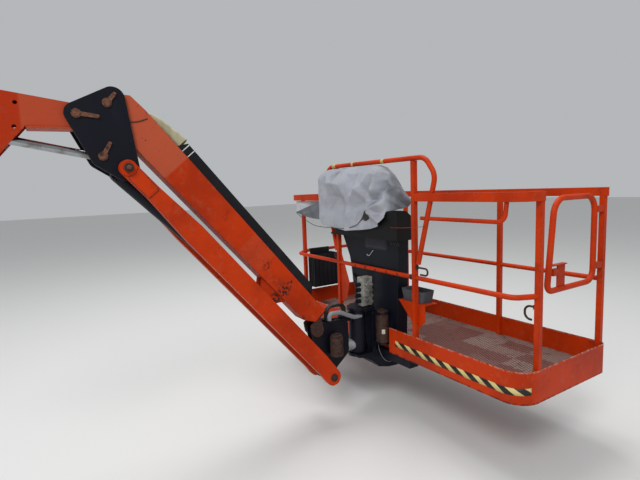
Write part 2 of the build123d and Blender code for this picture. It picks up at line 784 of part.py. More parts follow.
def jib_hoses():
    # Two hoses that arch from a clamp on the end bracket to the arm beyond it, and a sleeved one beside them
    # that goes into the back of the rotator.
    x0, x1 = (upper_end[0] + along for along in hose_span)
    low, high = clamp_top() + seat_gap, rotator_top - bracket_arm_drop + seat_gap
    body = Part()
    for y in hose_sides:
        top = high + hose_rise - y / 4
        body += bent_tube([(x0, y, low), (x0, y, top), (x1, y, top), (x1, y, high)], [hose_bend] * 2, hose_radius)
    y, z = sleeved_side, rotator_top - 34
    body += bent_tube([(x0, y, low), (x0, y, low + 46), (x0 + 90, y, low + 40), (axis_x - 60, y, z), (axis_x, y, z)],
                      [26, 90, 60], sleeved_radius)
    return body - rotator_housing_body(seat_gap)


def clamp_top():
    return upper_end[1] + bracket_radius + 8


def hose_clamp():
    # Block on the end bracket's edge that holds the hoses' ends.
    x = upper_end[0] + hose_span[0]
    low = upper_end[1] + bracket_radius + bracket_high * (hose_span[0] - 18) / bracket_reach + seat_gap
    return block((x - 18, sleeved_side - sleeved_radius - 3, low),
                 (x + 18, bracket_inner + bracket_thick, clamp_top()))


def tool_tray():
    # Open tray behind a middle post, narrower at its bottom.
    x0 = near_post_x + post_size / 2 + seat_gap
    low, high = deck_height + tray_height, deck_height + tray_height + 78
    y0, y1 = tray_side
    return tray_form(x0, y0, y1, low, high, 0) - tray_form(x0, y0, y1, low, high, tray_wall)


def tray_form(x0, y0, y1, low, high, inset):
    length, middle = y1 - y0 - 2 * inset, (y0 + y1) / 2
    mid_x = x0 + 4.3 + tray_depth / 2
    sections = []
    for z, size in ((low + inset, 0.86), (high + (1 if inset else 0), 1)):
        flat = RectangleRounded(tray_depth * size - 2 * inset, length * size, 28 * size - inset)
        sections.append(Plane(origin=(mid_x, middle, z), x_dir=(1, 0, 0), z_dir=(0, 0, 1)) * flat)
    return loft(sections)


def tray_bracket():
    # Triangular plate across the post, under the tray, with a ledge that carries it.
    x0 = near_post_x + post_size / 2 + seat_gap
    high = deck_height + tray_height - seat_gap
    outline = Polygon((-250, high), (-500, high), (-500, high - 110), (-440, high - 165),
                      (-412, high - 165), align=None)
    body = extrude(Plane.YZ.offset(x0) * outline, amount=4, dir=(1, 0, 0))
    return body + block((x0, -500, high - 4), (x0 + tray_depth - 10, -262, high))


def lanyard_hooks():
    # Bent round bars on the posts: (post, way along the platform, height of the top, reach, drop)
    body = Part()
    for x, y, way, top, reach, drop in ((near_side + end_post_back, -end_post_y, 1, 466, 62, 72),
                                        (near_post_x, -middle_post, -1, 596, 96, 44),
                                        (near_post_x, middle_post, 1, 596, 46, 40)):
        start, out = y + way * (post_size / 2 + seat_gap), y + way * (post_size / 2 + reach)
        high = deck_height + top
        bend = drop * 0.45
        low, back = high - drop, start + way * reach * 0.35
        body += bent_tube([(x, start, high), (x, out, high), (x, out, low), (x, back, low)], [bend, bend], hook_radius)
        body += block((x - 11, min(start, start + way * 8), high - 12),
                      (x + 11, max(start, start + way * 8), high + 12))
    return body


def storage_box():
    # Open box with ribs that hangs on the left end's middle rail by a folded strip.
    x0, x1 = near_side + box_span[0], near_side + box_span[1]
    rail = deck_height + mid_height
    high = rail - box_drop
    y1 = end_post_y - mid_radius - seat_gap
    y0 = y1 - box_depth
    body = block((x0, y0, high - box_height), (x1, y1, high))
    for rib in range(box_ribs):
        x = x0 + 14 + rib * (x1 - x0 - 28) / (box_ribs - 1)
        body += block((x - 4, y0 - 4, high - box_height), (x + 4, y0 + 1, high - 12))
    for y in (y0 + 25, (y0 + y1) / 2, y1 - 25):
        body += block((x0 - 4, y - 4, high - box_height), (x0 + 1, y + 4, high - 12))
    body -= block((x0 + 4, y0 + 4, high - box_height + 4), (x1 - 4, y1 - 4, high + 1))
    top = rail + mid_radius + seat_gap
    body += block((x0 + 20, y1 - sheet_thick, high - 1), (x1 - 20, y1, top + sheet_thick))
    return body + block((x0 + 20, y1 - sheet_thick, top), (x1 - 20, end_post_y + 5, top + sheet_thick))


def post_gusset():
    # Triangular plate beside the left middle post, against the pedestal's front.
    x0 = near_post_x - 2
    y0 = middle_post - post_size / 2 - seat_gap
    outline = Polygon((y0, deck_height + 640), (y0, deck_height + 200), (y0 - 80, deck_height + 240),
                      (y0 - 115, deck_height + 375), align=None)
    body = extrude(Plane.YZ.offset(x0) * outline, amount=4, dir=(1, 0, 0))
    return body - rail_tube(seat_gap)


save(boom_nose(), "boom_nose")
save(knuckle(), "knuckle")
save(knuckle_pins(), "knuckle_pins")
save(link_pins(), "link_pins")
save(upper_arm(), "upper_arm")
save(upper_arm_end(), "upper_arm_end")
arm = lower_arm()
save(arm, "lower_arm_left")
save(mirror(arm, about=Plane.XZ), "lower_arm_right")
jib_eye = upper(*jib_lug_place)
save(cylinder_barrel(level_base, level_eye, level_barrel_length, level_barrel_radius, level_rod_radius, 60),
     "level_cylinder_barrel")
save(cylinder_rod(level_base, level_eye, level_rod_length, level_rod_radius, level_eye_radius, level_eye_width),
     "level_cylinder_rod")
save(cylinder_barrel(jib_base, jib_eye, jib_barrel_length, jib_barrel_radius, jib_rod_radius, 60),
     "jib_cylinder_barrel")
save(cylinder_rod(jib_base, jib_eye, jib_rod_length, jib_rod_radius, jib_eye_radius, jib_eye_width),
     "jib_cylinder_rod")
save(end_bracket(), "jib_end_bracket")
save(end_pins(), "jib_end_pins")
save(rotator_housing(), "rotator_housing")
save(rotator_foot(), "rotator_foot")
save(toe_boards(), "toe_boards")
save(deck(), "deck")
save(floor_beams(), "floor_beams")
save(posts() + post_gusset(), "posts")
save(top_rail(), "top_rail")
save(mid_rail(), "mid_rail")
save(guard(), "console_guard")
save(grab_rail(), "grab_rail")
save(gate(), "gate")
save(gate_hinges(), "gate_hinges")
save(platform_support(), "platform_support")
save(console_post(), "console_post")
save(console(), "console")
save(cover(), "console_cover")
save(hose_trough(), "hose_trough")
save(hose_sleeve(), "hose_sleeve")
save(valve_block(), "valve_block")
save(valve_bracket(), "valve_bracket")
save(tool_tray(), "tool_tray")
save(tray_bracket(), "tray_bracket")
save(storage_box(), "storage_box")
save(valve_fittings(), "valve_fittings")
save(valve_coils(), "valve_coils")
save(jib_hoses(), "jib_hoses")
save(hose_clamp(), "hose_clamp")
save(pivot_boss(), "pivot_boss")
save(bracket_boss(), "bracket_boss")
save(lanyard_hooks(), "lanyard_hooks")
save(gate_latch(), "gate_latch")
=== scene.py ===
import math

import bpy
import numpy as np
from mathutils import Matrix, Vector


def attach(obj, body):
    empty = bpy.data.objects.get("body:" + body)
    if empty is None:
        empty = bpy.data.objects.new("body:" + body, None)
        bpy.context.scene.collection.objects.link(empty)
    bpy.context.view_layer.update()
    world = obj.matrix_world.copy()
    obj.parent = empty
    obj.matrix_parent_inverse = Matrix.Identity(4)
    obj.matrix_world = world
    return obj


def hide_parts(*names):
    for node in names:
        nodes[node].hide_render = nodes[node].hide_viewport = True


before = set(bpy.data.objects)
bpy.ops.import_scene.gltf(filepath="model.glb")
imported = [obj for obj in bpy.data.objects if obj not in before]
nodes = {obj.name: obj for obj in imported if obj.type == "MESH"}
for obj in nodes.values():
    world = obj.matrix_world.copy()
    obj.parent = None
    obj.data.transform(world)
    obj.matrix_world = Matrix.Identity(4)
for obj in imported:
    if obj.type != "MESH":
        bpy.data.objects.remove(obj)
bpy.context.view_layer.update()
print("frame loaded:", len(nodes), "nodes")

mm = 0.001
nearSide, deckTop = 2.64709, -1.51603                 # the platform's near side in X and its deck in Z
toeLow, toeHigh = deckTop - 0.046, deckTop + 0.135    # the toe boards' edges in Z
armPin, linkPin = (0.972, 0.063), (1.037, -0.255)     # the arms' upper pins in the knuckle, in X and Z
armDroop = math.radians(50)                           # how far the arms point down at rest
armWay = (math.cos(armDroop), 0.0, -math.sin(armDroop))
armUp = (math.sin(armDroop), 0.0, math.cos(armDroop))
armStart = armPin[0] * armWay[0] + armPin[1] * armWay[2]    # the upper pin, counted along the arm


def hexColour(code):
    # sRGB hex to linear light
    values = [int(code[k:k + 2], 16) / 255 for k in (1, 3, 5)]
    return [v / 12.92 if v <= 0.04045 else ((v + 0.055) / 1.055) ** 2.4 for v in values] + [1.0]


def put(tree, kind, sockets=None, **settings):
    # one node with its settings; a socket value that is an output becomes a link
    node = tree.nodes.new(kind)
    for key, value in settings.items():
        setattr(node, key, value)
    for key, value in (sockets or {}).items():
        if isinstance(value, bpy.types.NodeSocket):
            tree.links.new(value, node.inputs[key])
        else:
            node.inputs[key].default_value = value
    return node


def startMaterial(name):
    # an empty material, its node tree and the coordinates that its patterns read
    material = bpy.data.materials.new(name)
    material.use_nodes = True
    tree = material.node_tree
    tree.nodes.clear()
    coords = put(tree, "ShaderNodeTexCoord").outputs["Object"]
    return material, tree, coords


def finishMaterial(tree, colour, roughness, bump=None, metallic=0.0, strength=0.3, distance=0.001, **sockets):
    # the shader at the end of every material: colour and roughness come in as links or values
    values = {"Base Color": colour, "Roughness": roughness, "Metallic": metallic}
    if bump is not None:
        values["Normal"] = put(tree, "ShaderNodeBump", {"Height": bump, "Strength": strength,
                                                        "Distance": distance}).outputs[0]
    values.update(sockets)
    shader = put(tree, "ShaderNodeBsdfPrincipled", values)
    put(tree, "ShaderNodeOutputMaterial", {"Surface": shader.outputs[0]})


def blotches(tree, coords, size, low, high, detail=4.0, rough=0.55, *, seed):
    # blotches about size metres across, turned into a mask between two noise levels
    where = put(tree, "ShaderNodeMapping", {"Vector": coords, "Location": (seed, seed * 0.7, seed * 1.3)})
    noise = put(tree, "ShaderNodeTexNoise", {"Vector": where.outputs[0], "Scale": 1 / size, "Detail": detail,
                                             "Roughness": rough})
    return put(tree, "ShaderNodeMapRange", {"Value": noise.outputs[0], "From Min": low, "From Max": high},
               interpolation_type="SMOOTHSTEP").outputs[0]


def wornEdges(tree, radius, speckle, low=0.88, high=0.985):
    # chips along edges, from how far a rounded normal leans from the flat one, broken up by a speckle
    rounded = put(tree, "ShaderNodeBevel", {"Radius": radius}, samples=4).outputs[0]
    flat = put(tree, "ShaderNodeNewGeometry").outputs["True Normal"]
    lean = put(tree, "ShaderNodeVectorMath", {0: rounded, 1: flat}, operation="DOT_PRODUCT").outputs["Value"]
    edge = put(tree, "ShaderNodeMapRange", {"Value": lean, "From Min": high, "From Max": low}).outputs[0]
    return put(tree, "ShaderNodeMath", {0: edge, 1: speckle}, operation="MULTIPLY").outputs[0]


def tint(tree, mask, amount, first, second):
    # goes from the first colour to the second by a mask times an amount; a colour is a hex code or an output
    first, second = (hexColour(colour) if isinstance(colour, str) else colour for colour in (first, second))
    share = put(tree, "ShaderNodeMath", {0: mask, 1: amount}, operation="MULTIPLY", use_clamp=True).outputs[0]
    return put(tree, "ShaderNodeMix", {0: share, 6: first, 7: second}, data_type="RGBA").outputs[2]


# Machine enamel sprayed on steel: fine orange peel, sun-faded patches, grime, and chips down to rust at edges
enamel = {
    "base": "#C33704", "deep": "#A92D04", "faded": "#B5583C", "worn": "#B98A78", "chip": "#3F2318",
    "grime": "#4E2010", "edge": 4 * mm, "peel": 4 * mm, "crisp": 0.01, "specular": 0.15,
    # patterns: their size and the two noise levels that the mask runs between
    "patches": (0.35, 0.42, 0.68), "smears": (0.09, 0.56, 0.80), "bleached": (0.05, 0.52, 0.75),
    "ragged": (0.022, 0.47, 0.53), "spots": (0.016, 0.69, 0.73), "speckle": (0.010, 0.46, 0.56),
}


def orangeEnamel(name, turn=0.0, fades=(), streak=1.0, base="base", knocks=(), rims=()):
    # fades: (from, to, amount) lengths along the piece where the sun bleached it, with crisp ends;
    # knocks: (X, Z, radius) places where blows broke the paint down to the rust;
    # rims: (Z, reach, colour) heights of edges that feet and forks wore, with what shows there
    material, tree, coords = startMaterial(name)
    deeper = blotches(tree, coords, *enamel["patches"], seed=1.7)
    colour = tint(tree, deeper, 1.0, enamel[base], enamel["deep"])
    along = put(tree, "ShaderNodeMapping", {"Vector": coords, "Rotation": (0, turn, 0)}).outputs[0]
    x = put(tree, "ShaderNodeSeparateXYZ", {0: along}).outputs[0]
    for start, end, amount in fades:
        rise, fall = (put(tree, "ShaderNodeMapRange", {"Value": x, "From Min": at, "From Max": at + crisp}).outputs[0]
                      for at, crisp in ((start, enamel["crisp"]), (end, -enamel["crisp"])))
        zone = put(tree, "ShaderNodeMath", {0: rise, 1: fall}, operation="MULTIPLY").outputs[0]
        colour = tint(tree, zone, amount, colour, enamel["faded"])
    grime = blotches(tree, coords, *enamel["smears"], detail=8.0, rough=0.7, seed=4.1)
    colour = tint(tree, grime, 0.55 * streak, colour, enamel["grime"])
    bleached = blotches(tree, coords, *enamel["bleached"], detail=6.0, rough=0.65, seed=7.2)
    colour = tint(tree, bleached, 0.35 * streak, colour, enamel["faded"])
    speckle = blotches(tree, coords, *enamel["speckle"], detail=5.0, rough=0.7, seed=9.3)
    worn = wornEdges(tree, enamel["edge"], speckle)
    flat = put(tree, "ShaderNodeVectorMath", {0: coords, 1: (1, 0, 1)}, operation="MULTIPLY").outputs[0]
    ragged = blotches(tree, coords, *enamel["ragged"], detail=5.0, rough=0.65, seed=5.9)
    for knockX, knockZ, radius in knocks:
        away = put(tree, "ShaderNodeVectorMath", {0: flat, 1: (knockX, 0, knockZ)}, operation="DISTANCE")
        near = put(tree, "ShaderNodeMapRange", {"Value": away.outputs["Value"], "From Min": radius,
                                                "From Max": 0.6 * radius}).outputs[0]
        near = put(tree, "ShaderNodeMath", {0: near, 1: ragged}, operation="MULTIPLY").outputs[0]
        worn = put(tree, "ShaderNodeMath", {0: worn, 1: near}, operation="MAXIMUM").outputs[0]
    spots = blotches(tree, coords, *enamel["spots"], detail=3.0, seed=2.2)
    chips = put(tree, "ShaderNodeMath", {0: worn, 1: spots}, operation="MAXIMUM").outputs[0]
    height = put(tree, "ShaderNodeSeparateXYZ", {0: coords}).outputs[2]
    for rimZ, reach, shown in rims:
        off = put(tree, "ShaderNodeMath", {0: height, 1: rimZ}, operation="SUBTRACT").outputs[0]
        off = put(tree, "ShaderNodeMath", {0: off}, operation="ABSOLUTE").outputs[0]
        rim = put(tree, "ShaderNodeMapRange", {"Value": off, "From Min": reach, "From Max": 0.3 * reach}).outputs[0]
        rim = put(tree, "ShaderNodeMath", {0: rim, 1: ragged}, operation="MULTIPLY").outputs[0]
        colour = tint(tree, rim, 0.85, colour, enamel[shown])
    colour = tint(tree, chips, 1.0, colour, enamel["chip"])
    roughness = put(tree, "ShaderNodeMapRange", {"Value": grime, "To Min": 0.48, "To Max": 0.70}).outputs[0]
    peel = put(tree, "ShaderNodeTexNoise", {"Vector": coords, "Scale": 1 / enamel["peel"], "Detail": 2.0}).outputs[0]
    relief = put(tree, "ShaderNodeMath", {0: peel, 1: chips}, operation="SUBTRACT").outputs[0]
    finishMaterial(tree, colour, roughness, relief, strength=0.25, distance=0.0006,
                   **{"Specular IOR Level": enamel["specular"]})
    return material


# Black enamel on plate: near navy, dusty wipes, small rust blooms and grey scuffs at the edges
plate = {"base": "#0C0F1A", "dustAndShade": "#20242E", "scuff": "#4A4541", "rust": "#4B2C1E", "edge": 3 * mm,
         "wipes": (0.12, 0.48, 0.75), "blooms": (0.03, 0.62, 0.70), "speckle": (0.008, 0.45, 0.6), "grain": 3 * mm}


def blackEnamel(name, dustAmount=0.5, rustAmount=0.3):
    material, tree, coords = startMaterial(name)
    wipe = put(tree, "ShaderNodeMapping", {"Vector": coords, "Scale": (1, 1, 0.35)}).outputs[0]
    dustAndShade = blotches(tree, wipe, *plate["wipes"], detail=6.0, rough=0.6, seed=3.3)
    colour = tint(tree, dustAndShade, dustAmount, plate["base"], plate["dustAndShade"])
    rust = blotches(tree, coords, *plate["blooms"], detail=6.0, rough=0.7, seed=7.9)
    colour = tint(tree, rust, rustAmount, colour, plate["rust"])
    speckle = blotches(tree, coords, *plate["speckle"], seed=5.0)
    colour = tint(tree, wornEdges(tree, plate["edge"], speckle), 1.0, colour, plate["scuff"])
    roughness = put(tree, "ShaderNodeMapRange", {"Value": dustAndShade, "To Min": 0.45, "To Max": 0.7}).outputs[0]
    grain = put(tree, "ShaderNodeTexNoise", {"Vector": coords, "Scale": 1 / plate["grain"], "Detail": 2.0}).outputs[0]
    finishMaterial(tree, colour, roughness, grain, strength=0.2, distance=0.0005, **{"Specular IOR Level": 0.2})
    return material


# Forged steel left bare outdoors: brown scale in two tones over darker pits
def rustySteel(name, base="#33201A", light="#52362A", dark="#19100D"):
    material, tree, coords = startMaterial(name)
    scale = blotches(tree, coords, 0.012, 0.35, 0.7, detail=8.0, rough=0.7, seed=1.1)
    colour = tint(tree, scale, 1.0, base, light)
    pits = blotches(tree, coords, 0.03, 0.5, 0.72, detail=6.0, rough=0.6, seed=6.1)
    colour = tint(tree, pits, 1.0, colour, dark)
    finishMaterial(tree, colour, 0.78, scale, metallic=0.15, strength=0.6, distance=0.0012)
    return material


# Hard chrome on the rods: mirror with a thin oily film
def hardChrome(name):
    material, tree, coords = startMaterial(name)
    film = blotches(tree, coords, 0.05, 0.4, 0.75, seed=2.0)
    colour = tint(tree, film, 1.0, "#9DA0A4", "#77746E")
    roughness = put(tree, "ShaderNodeMapRange", {"Value": film, "To Min": 0.2, "To Max": 0.4}).outputs[0]
    finishMaterial(tree, colour, roughness, metallic=1.0)
    return material


# Cast aluminium manifold: grey, slightly grainy, oily shadows
def castAluminium(name, base="#A3A49C", dark="#6A6B64", metal=0.25):
    material, tree, coords = startMaterial(name)
    oil = blotches(tree, coords, 0.05, 0.42, 0.7, detail=6.0, seed=8.0)
    colour = tint(tree, oil, 1.0, base, dark)
    grain = put(tree, "ShaderNodeTexNoise", {"Vector": coords, "Scale": 1 / (2 * mm), "Detail": 3.0}).outputs[0]
    finishMaterial(tree, colour, 0.5, grain, metallic=metal, strength=0.2, distance=0.0004)
    return material


# Walked-on expanded steel: rows of diamond holes, red-brown primer worn pale in patches, rust between;
# the holes are drawn a little larger than the real ones so that they show
# hole: a near-black colour for the holes, painted shade for what shows through them
deckPattern = {"pitchLong": 46 * mm, "pitchShort": 22 * mm, "block": (0.13, 0.21, 10.0), "raggedBy": 0.05,
               "base": "#7E4A40", "worn": "#A99388", "rust": "#5C342B", "hole": "#1A0F0D"}


def expandedSteel(name):
    material, tree, coords = startMaterial(name)
    place = put(tree, "ShaderNodeSeparateXYZ", {0: coords})
    # a diamond lattice: |cos(u + v)| and |cos(u - v)| are both high only in the middle of each hole
    waves = []
    for sign in (1, -1):
        u = put(tree, "ShaderNodeMath", {0: place.outputs[1], 1: math.pi / deckPattern["pitchLong"]},
                operation="MULTIPLY").outputs[0]
        v = put(tree, "ShaderNodeMath", {0: place.outputs[0], 1: sign * math.pi / deckPattern["pitchShort"]},
                operation="MULTIPLY").outputs[0]
        total = put(tree, "ShaderNodeMath", {0: u, 1: v}, operation="ADD").outputs[0]
        wave = put(tree, "ShaderNodeMath", {0: total}, operation="COSINE").outputs[0]
        waves.append(put(tree, "ShaderNodeMath", {0: wave}, operation="ABSOLUTE").outputs[0])
    web = put(tree, "ShaderNodeMath", {0: waves[0], 1: waves[1]}, operation="MINIMUM").outputs[0]
    hole = put(tree, "ShaderNodeMapRange", {"Value": web, "From Min": 0.42, "From Max": 0.56}).outputs[0]
    # worn pale where feet stand: blocky patches, from noise read on a coarse grid with ragged edges
    ragged = put(tree, "ShaderNodeTexNoise", {"Vector": coords, "Scale": 30.0, "Detail": 3.0}).outputs[1]
    ragged = put(tree, "ShaderNodeVectorMath", {0: ragged, 1: (0.5, 0.5, 0.5)}, operation="SUBTRACT").outputs[0]
    ragged = put(tree, "ShaderNodeVectorMath", {0: ragged, "Scale": deckPattern["raggedBy"]},
                 operation="SCALE").outputs[0]
    blocks = put(tree, "ShaderNodeVectorMath", {0: coords, 1: ragged}, operation="ADD").outputs[0]
    blocks = put(tree, "ShaderNodeVectorMath", {0: blocks, 1: deckPattern["block"]}, operation="SNAP").outputs[0]
    worn = blotches(tree, blocks, 0.30, 0.44, 0.50, detail=2.0, seed=3.0)
    colour = tint(tree, worn, 0.6, deckPattern["base"], deckPattern["worn"])
    rust = blotches(tree, coords, 0.05, 0.5, 0.75, detail=7.0, rough=0.65, seed=5.5)
    colour = tint(tree, rust, 1.0, colour, deckPattern["rust"])
    # painted shade: the holes are painted near black
    colour = tint(tree, hole, 0.9, colour, deckPattern["hole"])
    depth = put(tree, "ShaderNodeMath", {0: 1.0, 1: hole}, operation="SUBTRACT").outputs[0]
    finishMaterial(tree, colour, 0.7, depth, metallic=0.2, strength=0.8, distance=0.002)
    return material


# Moulded black ABS: satin with a fine leather grain and dusty hollows
def mouldedPlastic(name, base="#101116", dustAndShade="#25262B"):
    material, tree, coords = startMaterial(name)
    haze = blotches(tree, coords, 0.15, 0.45, 0.75, detail=5.0, seed=2.5)
    colour = tint(tree, haze, 0.6, base, dustAndShade)
    grain = put(tree, "ShaderNodeTexVoronoi", {"Vector": coords, "Scale": 1 / (2.5 * mm)}).outputs["Distance"]
    finishMaterial(tree, colour, 0.55, grain, strength=0.12, distance=0.0003, **{"Specular IOR Level": 0.25})
    return material


# PVC-coated polyester cloth: plain weave under a soft sheen, with water marks; the threads are drawn
# coarser than the real half millimetre so that they show
shadedEnd = (-0.208, -0.250)    # the cover's right end, in Y, where the cloth is painted darker: painted shade


def coatedCloth(name, base="#A9ACB5", dirty="#8D9199", thread=3.0 * mm, dustAndShade=None):
    # the last argument is a darker colour, painted as shade on the parts that face up and on the right end
    material, tree, coords = startMaterial(name)
    stain = blotches(tree, coords, 0.12, 0.45, 0.72, detail=5.0, rough=0.55, seed=6.6)
    colour = tint(tree, stain, 0.6, base, dirty)
    if dustAndShade:
        # painted shade: the parts that face up are darkened by half towards that colour
        facing = put(tree, "ShaderNodeNewGeometry").outputs["Normal"]
        up = put(tree, "ShaderNodeSeparateXYZ", {0: facing}).outputs[2]
        upShade = put(tree, "ShaderNodeMapRange", {"Value": up, "From Min": 0.25, "From Max": 0.8}).outputs[0]
        # painted shade: darker towards the right end, from Y -0.208 to Y -0.250
        side = put(tree, "ShaderNodeSeparateXYZ", {0: coords}).outputs[1]
        endShade = put(tree, "ShaderNodeMapRange", {"Value": side, "From Min": shadedEnd[0],
                                                "From Max": shadedEnd[1]}).outputs[0]
        colour = tint(tree, upShade, 0.5, colour, dustAndShade)
        colour = tint(tree, endShade, 0.8, colour, dustAndShade)
    uv = put(tree, "ShaderNodeTexCoord").outputs["UV"]
    threads = [put(tree, "ShaderNodeTexWave", {"Vector": uv, "Scale": 0.314 / thread},
                   bands_direction=way).outputs[1] for way in ("X", "Y")]
    weave = put(tree, "ShaderNodeMath", {0: threads[0], 1: threads[1]}, operation="MAXIMUM").outputs[0]
    finishMaterial(tree, colour, 0.62, weave, strength=0.08, distance=0.0003, **{"Sheen Weight": 0.1})
    return material


# Nitrile hose rubber: dull black with a greyed bloom; what lies nearer than sleeveFrom, in Y, is the hose
# in a grey woven sleeve
def hoseRubber(name, base="#101011", bloom="#2B2B2C", sleeve="#7E8286", sleeveFrom=-0.033):
    material, tree, coords = startMaterial(name)
    chalk = blotches(tree, coords, 0.04, 0.5, 0.75, detail=5.0, seed=1.9)
    colour = tint(tree, chalk, 0.6, base, bloom)
    side = put(tree, "ShaderNodeSeparateXYZ", {0: coords}).outputs[1]
    near = put(tree, "ShaderNodeMath", {0: side, 1: sleeveFrom}, operation="LESS_THAN").outputs[0]
    colour = tint(tree, near, 1.0, colour, sleeve)
    grain = put(tree, "ShaderNodeTexNoise", {"Vector": coords, "Scale": 1 / (1.5 * mm), "Detail": 2.0}).outputs[0]
    finishMaterial(tree, colour, 0.55, grain, strength=0.15, distance=0.0003)
    return material


# Hazard tape: printed vinyl with slanted cream and black bars, scuffed and dirty
tape = {"cream": "#D6C27E", "black": "#100E0B", "dirt": "#7A4A30", "period": 0.1083, "start": 0.050, "slant": 1.5,
        "blackShare": 0.54}


def hazardVinyl(name):
    material, tree, coords = startMaterial(name)
    uv = put(tree, "ShaderNodeSeparateXYZ", {0: put(tree, "ShaderNodeTexCoord").outputs["UV"]})
    # bars: the way along the tape, slanted by its height, in parts of one period
    slant = put(tree, "ShaderNodeMath", {0: uv.outputs[1], 1: tape["slant"], 2: uv.outputs[0]},
                operation="MULTIPLY_ADD").outputs[0]
    part = put(tree, "ShaderNodeMath", {0: slant, 1: 1 / tape["period"]}, operation="MULTIPLY").outputs[0]
    part = put(tree, "ShaderNodeMath", {0: part}, operation="FRACT").outputs[0]
    bar = put(tree, "ShaderNodeMapRange", {"Value": part, "From Min": 0.99 - tape["blackShare"],
                                           "From Max": 1.01 - tape["blackShare"]}).outputs[0]
    colour = tint(tree, bar, 1.0, tape["cream"], tape["black"])
    dirt = blotches(tree, coords, 0.03, 0.58, 0.76, detail=7.0, rough=0.7, seed=3.8)
    colour = tint(tree, dirt, 0.6, colour, tape["dirt"])
    finishMaterial(tree, colour, 0.5, dirt, strength=0.1, distance=0.0003)
    return material


# Plain plastics for small trim, such as tape, nylon ties, labels and cords: one tone with dirt in spots
def plainPlastic(name, base, dirty):
    material, tree, coords = startMaterial(name)
    dirt = blotches(tree, coords, 0.012, 0.45, 0.7, detail=5.0, seed=4.4)
    finishMaterial(tree, tint(tree, dirt, 0.7, base, dirty), 0.6, dirt, strength=0.1, distance=0.0002)
    return material


materials = {
    "enamel": orangeEnamel("orangeEnamel"),
    "enamelBoom": orangeEnamel("boomEnamel", 0.0, [(0.605, 1.2, 0.45)], 0.6, "deep"),
    "enamelUpper": orangeEnamel("upperArmEnamel", -armDroop, [(armStart - 0.10, armStart + 0.452, 0.8),
                                                              (armStart + 1.02, armStart + 1.22, 0.2)], 1.3,
                                knocks=((1.900, -1.020, 0.055), (1.945, -0.985, 0.030), (1.785, -0.855, 0.028),
                                        (1.810, -0.830, 0.018), (1.845, -1.070, 0.045), (2.029, -1.224, 0.02))),
    "enamelToe": orangeEnamel("toeBoardEnamel", streak=1.2, rims=((toeLow, 0.014, "chip"), (toeHigh, 0.010, "worn"))),
    "black": blackEnamel("knuckleEnamel"),
    "blackFrame": blackEnamel("supportEnamel", 0.35, 0.2),
    "rust": rustySteel("forgedSteelRust"),
    "pinRust": rustySteel("greasedPinRust", "#5A3728", "#83553F", "#2B1A14"),
    "chrome": hardChrome("hardChrome"),
    "aluminium": castAluminium("castAluminium"),
    "footMetal": castAluminium("bareAluminium", "#B4B8BB", "#85888A", 0.3),
    "fittings": castAluminium("platedSteel", "#A9ABA8", "#5C5B57", 0.8),
    "deck": expandedSteel("expandedSteel"),
    "plastic": mouldedPlastic("blackABS"),
    "consolePlastic": mouldedPlastic("consoleABS", "#08080A", "#141416"),
    "panelPlastic": mouldedPlastic("panelABS", "#2B2A33", "#3A3941"),
    "label": plainPlastic("blankLabel", "#C9C5B8", "#8F8A7C"),
    "cordRed": plainPlastic("redCord", "#8E2A1C", "#5E2318"),
    "tray": mouldedPlastic("greyPolyethylene", "#45484D", "#5B5E63"),
    # the cover's cloth, with painted shade on its parts that face up and on its right end
    "cover": coatedCloth("coatedCloth", dustAndShade="#5F636A"),
    "coverInside": coatedCloth("coatedClothPale", "#C6CACE", "#B0B4B8"),
    # a darker copy of the cloth: painted shade for the near layer of the loose corner
    "coverShaded": coatedCloth("shadedCloth", "#666A71", "#4C5056"),
    "clothBack": coatedCloth("clothBack", "#2C2722", "#1B1815"),
    "sleeve": coatedCloth("wovenSleeve", "#A9A384", "#7F7B60", 4.0 * mm),
    "rubber": hoseRubber("hoseRubber"),
    "blackHose": hoseRubber("blackHose", sleeveFrom=-9.0),
    "tape": hazardVinyl("printedVinyl"),
    "creamTape": plainPlastic("creamTape", "#C7AE6A", "#8C6A3A"),
    "nylon": plainPlastic("whiteNylon", "#D9DADB", "#9C9B97"),
    "cableGrey": plainPlastic("greyCable", "#7E8084", "#55565A"),
    "cordBlack": plainPlastic("blackPolyester", "#141416", "#2A2A2C"),
}
print("materials made:", len(materials))

finishes = {
    "enamelBoom": ["boom_nose"],
    "black": ["knuckle"],
    "pinRust": ["knuckle_pins"],
    "rust": ["jib_end_pins", "upper_arm_end", "pivot_boss", "bracket_boss", "lanyard_hooks"],
    "enamel": ["link_pins", "lower_arm_left", "lower_arm_right", "floor_beams", "posts", "top_rail", "mid_rail",
                "console_guard", "grab_rail", "gate_hinges", "gate", "gate_latch", "tray_bracket"],
    "enamelUpper": ["upper_arm"],
    "enamelToe": ["toe_boards"],
    "chrome": ["level_cylinder_rod", "jib_cylinder_rod"],
    "blackFrame": ["level_cylinder_barrel", "jib_cylinder_barrel", "jib_end_bracket", "rotator_housing",
                   "platform_support", "console_post", "valve_bracket", "hose_clamp"],
    "aluminium": ["valve_block"],
    "footMetal": ["rotator_foot"],
    "fittings": ["valve_fittings"],
    "deck": ["deck"],
    "plastic": ["storage_box", "hose_trough", "valve_coils"],
    "consolePlastic": ["console"],
    "tray": ["tool_tray"],
    "cover": ["console_cover"],
    "sleeve": ["hose_sleeve"],
    "rubber": ["jib_hoses"],
}
for finish, names in finishes.items():
    for name in names:
        nodes[name].data.materials.clear()
        nodes[name].data.materials.append(materials[finish])
missing = set(nodes) - {n for names in finishes.values() for n in names}
print("nodes without a finish:", sorted(missing))


